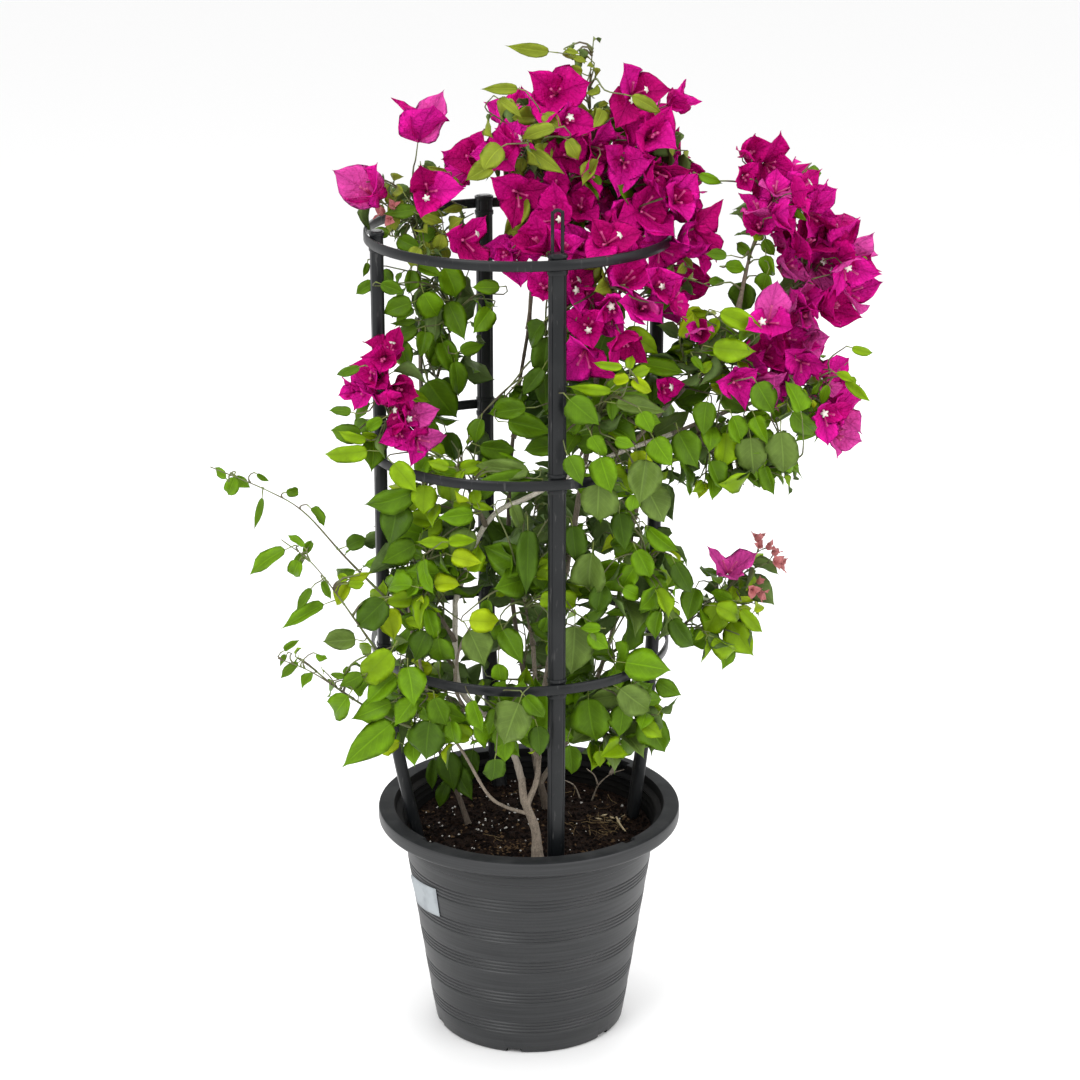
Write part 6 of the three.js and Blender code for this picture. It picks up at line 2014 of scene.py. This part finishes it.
def litter(edge):
    """Crumbs, perlite and straw lying on the potting mix."""
    rng = np.random.default_rng(LITTER_SEED)
    crumbs, beads, straw = Build(), Build(), Build()

    def anywhere(margin):
        angle, radius = rng.uniform(0, 2 * math.pi), (edge - margin) * math.sqrt(rng.uniform())
        return radius * math.cos(angle), radius * math.sin(angle)

    def lump(x, y, size, rise, flat=1.0):
        return pebble(rng, size, flat) + (x, y, soil_height(x, y) + size * rise)

    for _ in range(2600):
        x, y = anywhere(4)
        crumb = lump(x, y, rng.uniform(1.4, 5.2), 0.12, 0.7)
        crumbs.add(crumb, [LUMP_FACES], min(2, int(rng.exponential(0.8))))
    for _ in range(260):
        x, y = rng.normal(-19, 13), rng.normal(-50, 9)
        crumb = lump(x, y, rng.uniform(1.2, 3.4), 0.2, 0.6)
        crumbs.add(crumb, [LUMP_FACES], int(rng.integers(1, 3)))
    for _ in range(170):
        x, y = anywhere(5)
        if x > 10 and rng.uniform() < 0.6:
            continue
        beads.add(lump(x, y, rng.uniform(1.1, 2.9), 0.35), [LUMP_FACES])
    for x, y, turn, size in HUSKS:
        cos, sin = math.cos(turn), math.sin(turn)
        husk = pebble(rng, size, 0.16) * (1.9, 0.8, 1) @ np.array([[cos, sin, 0], [-sin, cos, 0], [0, 0, 1]])
        straw.add(husk + (x, y, soil_height(x, y) + 2), [LUMP_FACES], 2)
    vertices, faces, _ = tube(Curve(STICK).at(np.linspace(0, 1, 9)), 1.1, 6)
    straw.add(vertices, faces, 2)
    for i in range(52):
        heap = i < 38
        x = rng.normal(72, 15) if heap else rng.uniform(-90, 90)
        y = rng.normal(0, 16) if heap else rng.uniform(-90, 90)
        if math.hypot(x, y) > edge - 14:
            continue
        turn, length = rng.uniform(0, 2 * math.pi), rng.uniform(9, 30)
        share = np.linspace(-0.5, 0.5, 6)
        curl = rng.uniform(-0.25, 0.25)
        xs = x + length * (share * math.cos(turn) - curl * share**2 * math.sin(turn))
        ys = y + length * (share * math.sin(turn) + curl * share**2 * math.cos(turn))
        zs = [soil_height(a, b) + 0.9 + 3.4 * abs(s) * rng.uniform(0, 1) for a, b, s in zip(xs, ys, share)]
        vertices, faces, _ = tube(np.stack([xs, ys, zs], -1), rng.uniform(0.2, 0.42), 5)
        straw.add(vertices, faces, int(rng.integers(0, 2)))
    dark, brown = grainy("crumb_dark", (0.004, 0.002, 0.0015)), grainy("crumb_brown", (0.015, 0.0075, 0.0045))
    tan = grainy("crumb_tan", (0.100, 0.062, 0.032))
    crumbs.make("soil_crumbs", "soil", [dark, brown, tan], smooth=False)
    beads.make("perlite", "soil", [grainy("perlite", (0.72, 0.7, 0.66))], smooth=False)
    pale, dull = grainy("straw_pale", (0.20, 0.14, 0.07)), grainy("straw_brown", (0.09, 0.055, 0.03))
    straw.make("straw", "soil", [pale, dull, grainy("husk", (0.52, 0.42, 0.26))])


# Cage


SECTION_POINTS = 40


def pole_section(grown=0.0):
    """A pole's section, across and outwards, with two shallow grooves down its face unless it is grown."""
    angles = np.arange(SECTION_POINTS) * 2 * math.pi / SECTION_POINTS
    across = np.sign(np.cos(angles)) * np.abs(np.cos(angles)) ** 0.72 * (POLE_ACROSS + grown)
    deep = np.sign(np.sin(angles)) * np.abs(np.sin(angles)) ** 0.72 * (POLE_DEEP + grown)
    if not grown:
        grooved = np.abs(np.abs(across) / POLE_ACROSS - 0.66) < 0.09
        deep = np.where(grooved, deep * 0.84, deep)
    return across, deep


def pole_piece(side, degrees, look):
    """A pole with a collar on each side of every hoop. The front one has a small loop at its head."""
    build = Build()

    def column(heights, scales, grown):
        across, deep = pole_section(grown)
        rows = []
        for z, scale in zip(heights, scales):
            middle, out = pole_at(degrees, z)
            sideways = np.array([-out[1], out[0], 0])
            rows.append(middle + across[:, None] * sideways * scale + deep[:, None] * out * scale)
        low = np.arange(SECTION_POINTS)[::-1][None]
        high = (len(rows) - 1) * SECTION_POINTS + np.arange(SECTION_POINTS)[None]
        build.add(np.vstack(rows), [ring_faces(len(rows), SECTION_POINTS)])
        build.add(np.vstack(rows), [low, high])

    heights = [*np.linspace(CAGE_FOOT, CAGE_BEND, 24), 500, 600, 700]
    heights += [POLE_TOP - 5, POLE_TOP - 2, POLE_TOP - 0.5, POLE_TOP]
    column(heights, [*[1] * (len(heights) - 3), 0.97, 0.9, 0.78], 0)
    for top in HOOP_TOPS.values():
        under = top - HOOP_HEIGHT
        column([under - 5, under - 4.5, under - 1.2, under - 0.7], [0.97, 1, 1, 0.97], 0.9)
        if top + 4 < POLE_TOP:
            column([top + 0.7, top + 1.2, top + 3.6, top + 4.1], [0.97, 1, 1, 0.97], 0.9)
    if side == "front":
        x, y, _ = pole_at(degrees, POLE_TOP)[0]
        cos, sin = math.cos(math.radians(CAGE_TURN)), math.sin(math.radians(CAGE_TURN))
        arch = [(-4.6 * math.cos(a), 34 + 4.4 * math.sin(a)) for a in np.linspace(0, math.pi, 9)]
        outline = [(-4.6, -3), *arch, (4.6, -3)]
        loop = Curve([(x + side * cos, y + side * sin, POLE_TOP + up) for side, up in outline])
        build.rod(loop.at(np.linspace(0, 1, 60)), 1.6, 10)
    made = build.make(f"cage_pole_{side}", "cage_plastic", [look], [f"pole_{side}"])
    made.data.set_sharp_from_angle(angle=math.radians(40))


def hoop_piece(level, top, look):
    low, high, bevel = top - HOOP_HEIGHT, top, 0.7
    inner, outer = HOOP_INNER + bevel, HOOP_OUTER - bevel
    profile = [
        (HOOP_INNER, low + bevel), (inner, low), (outer, low), (HOOP_OUTER, low + bevel),
        (HOOP_OUTER + 0.1, (low + high) / 2), (HOOP_OUTER, high - bevel), (outer, high), (inner, high),
        (HOOP_INNER, high - bevel),
    ]
    build = Build()
    build.add(*lathe(profile, 180, (CAGE_X, 0), math.radians(CAGE_TURN)))
    made = build.make(f"cage_hoop_{level}", "cage_plastic", [look], [f"hoop_{level}"])
    made.data.set_sharp_from_angle(angle=math.radians(50))


def cage():
    look = mottled(
        "cage_plastic", (0.007, 0.008, 0.009), (0.006, 0.007, 0.008),
        [((0.013, 0.014, 0.015), 22, 4, 0.4, 0.7), ((0.05, 0.05, 0.05), 260, 5, 0.63, 0.75, (1, 1, 0.2))],
        roughness=0.4, shine=0.28, worn=(0.32, 0.5), relief=(0.1, 0.0003), grain=(500, 2, 0.3, 0.7),
    )
    for side, degrees in POLES.items():
        pole_piece(side, degrees, look)
    for level, top in HOOP_TOPS.items():
        hoop_piece(level, top, look)


# Stage


def area_light(name, place, size, power):
    data = bpy.data.lights.new(name, "AREA")
    data.energy, data.size = power, size
    light = bpy.data.objects.new(name, data)
    bpy.context.scene.collection.objects.link(light)
    light.location = place
    light.rotation_euler = (Vector((0, 0, 0.5)) - Vector(place)).to_track_quat("-Z", "Y").to_euler()


def stage():
    scene = bpy.context.scene
    scene.view_settings.view_transform = "Standard"
    scene.view_settings.look = "None"
    world = bpy.data.worlds.new("studio")
    scene.world = world
    world.use_nodes = True
    background = world.node_tree.nodes["Background"]
    background.inputs["Color"].default_value = (1, 1, 1, 1)
    background.inputs["Strength"].default_value = 1
    mesh = bpy.data.meshes.new("floor")
    mesh.from_pydata([(-20, -8, 0), (20, -8, 0), (20, 32, 0), (-20, 32, 0)], [], [(0, 1, 2, 3)])
    floor = bpy.data.objects.new("floor", mesh)
    scene.collection.objects.link(floor)
    mesh.materials.append(plain("floor_white", (0.95, 0.95, 0.95), 0.9))
    area_light("key", (-1.6, -2.2, 2.6), 1.6, 48)
    area_light("fill", (2.2, -1.4, 1.7), 1.8, 24)
    area_light("top", (0, 0.3, 3.2), 2, 22)
    area_light("back", (0.4, 2.6, 2.0), 2, 24)
    data = bpy.data.cameras.new("camera")
    data.lens, data.sensor_width, data.sensor_height = CAMERA_LENS, SENSOR, SENSOR
    data.clip_start, data.clip_end = 0.05, 100
    camera = bpy.data.objects.new("camera", data)
    scene.collection.objects.link(camera)
    camera.location = CAMERA_AT
    camera.rotation_euler = (math.radians(90 - CAMERA_PITCH), 0, 0)
    scene.camera = camera


stage()
pot()
label()
soil()
cage()
limbs()
foliage()
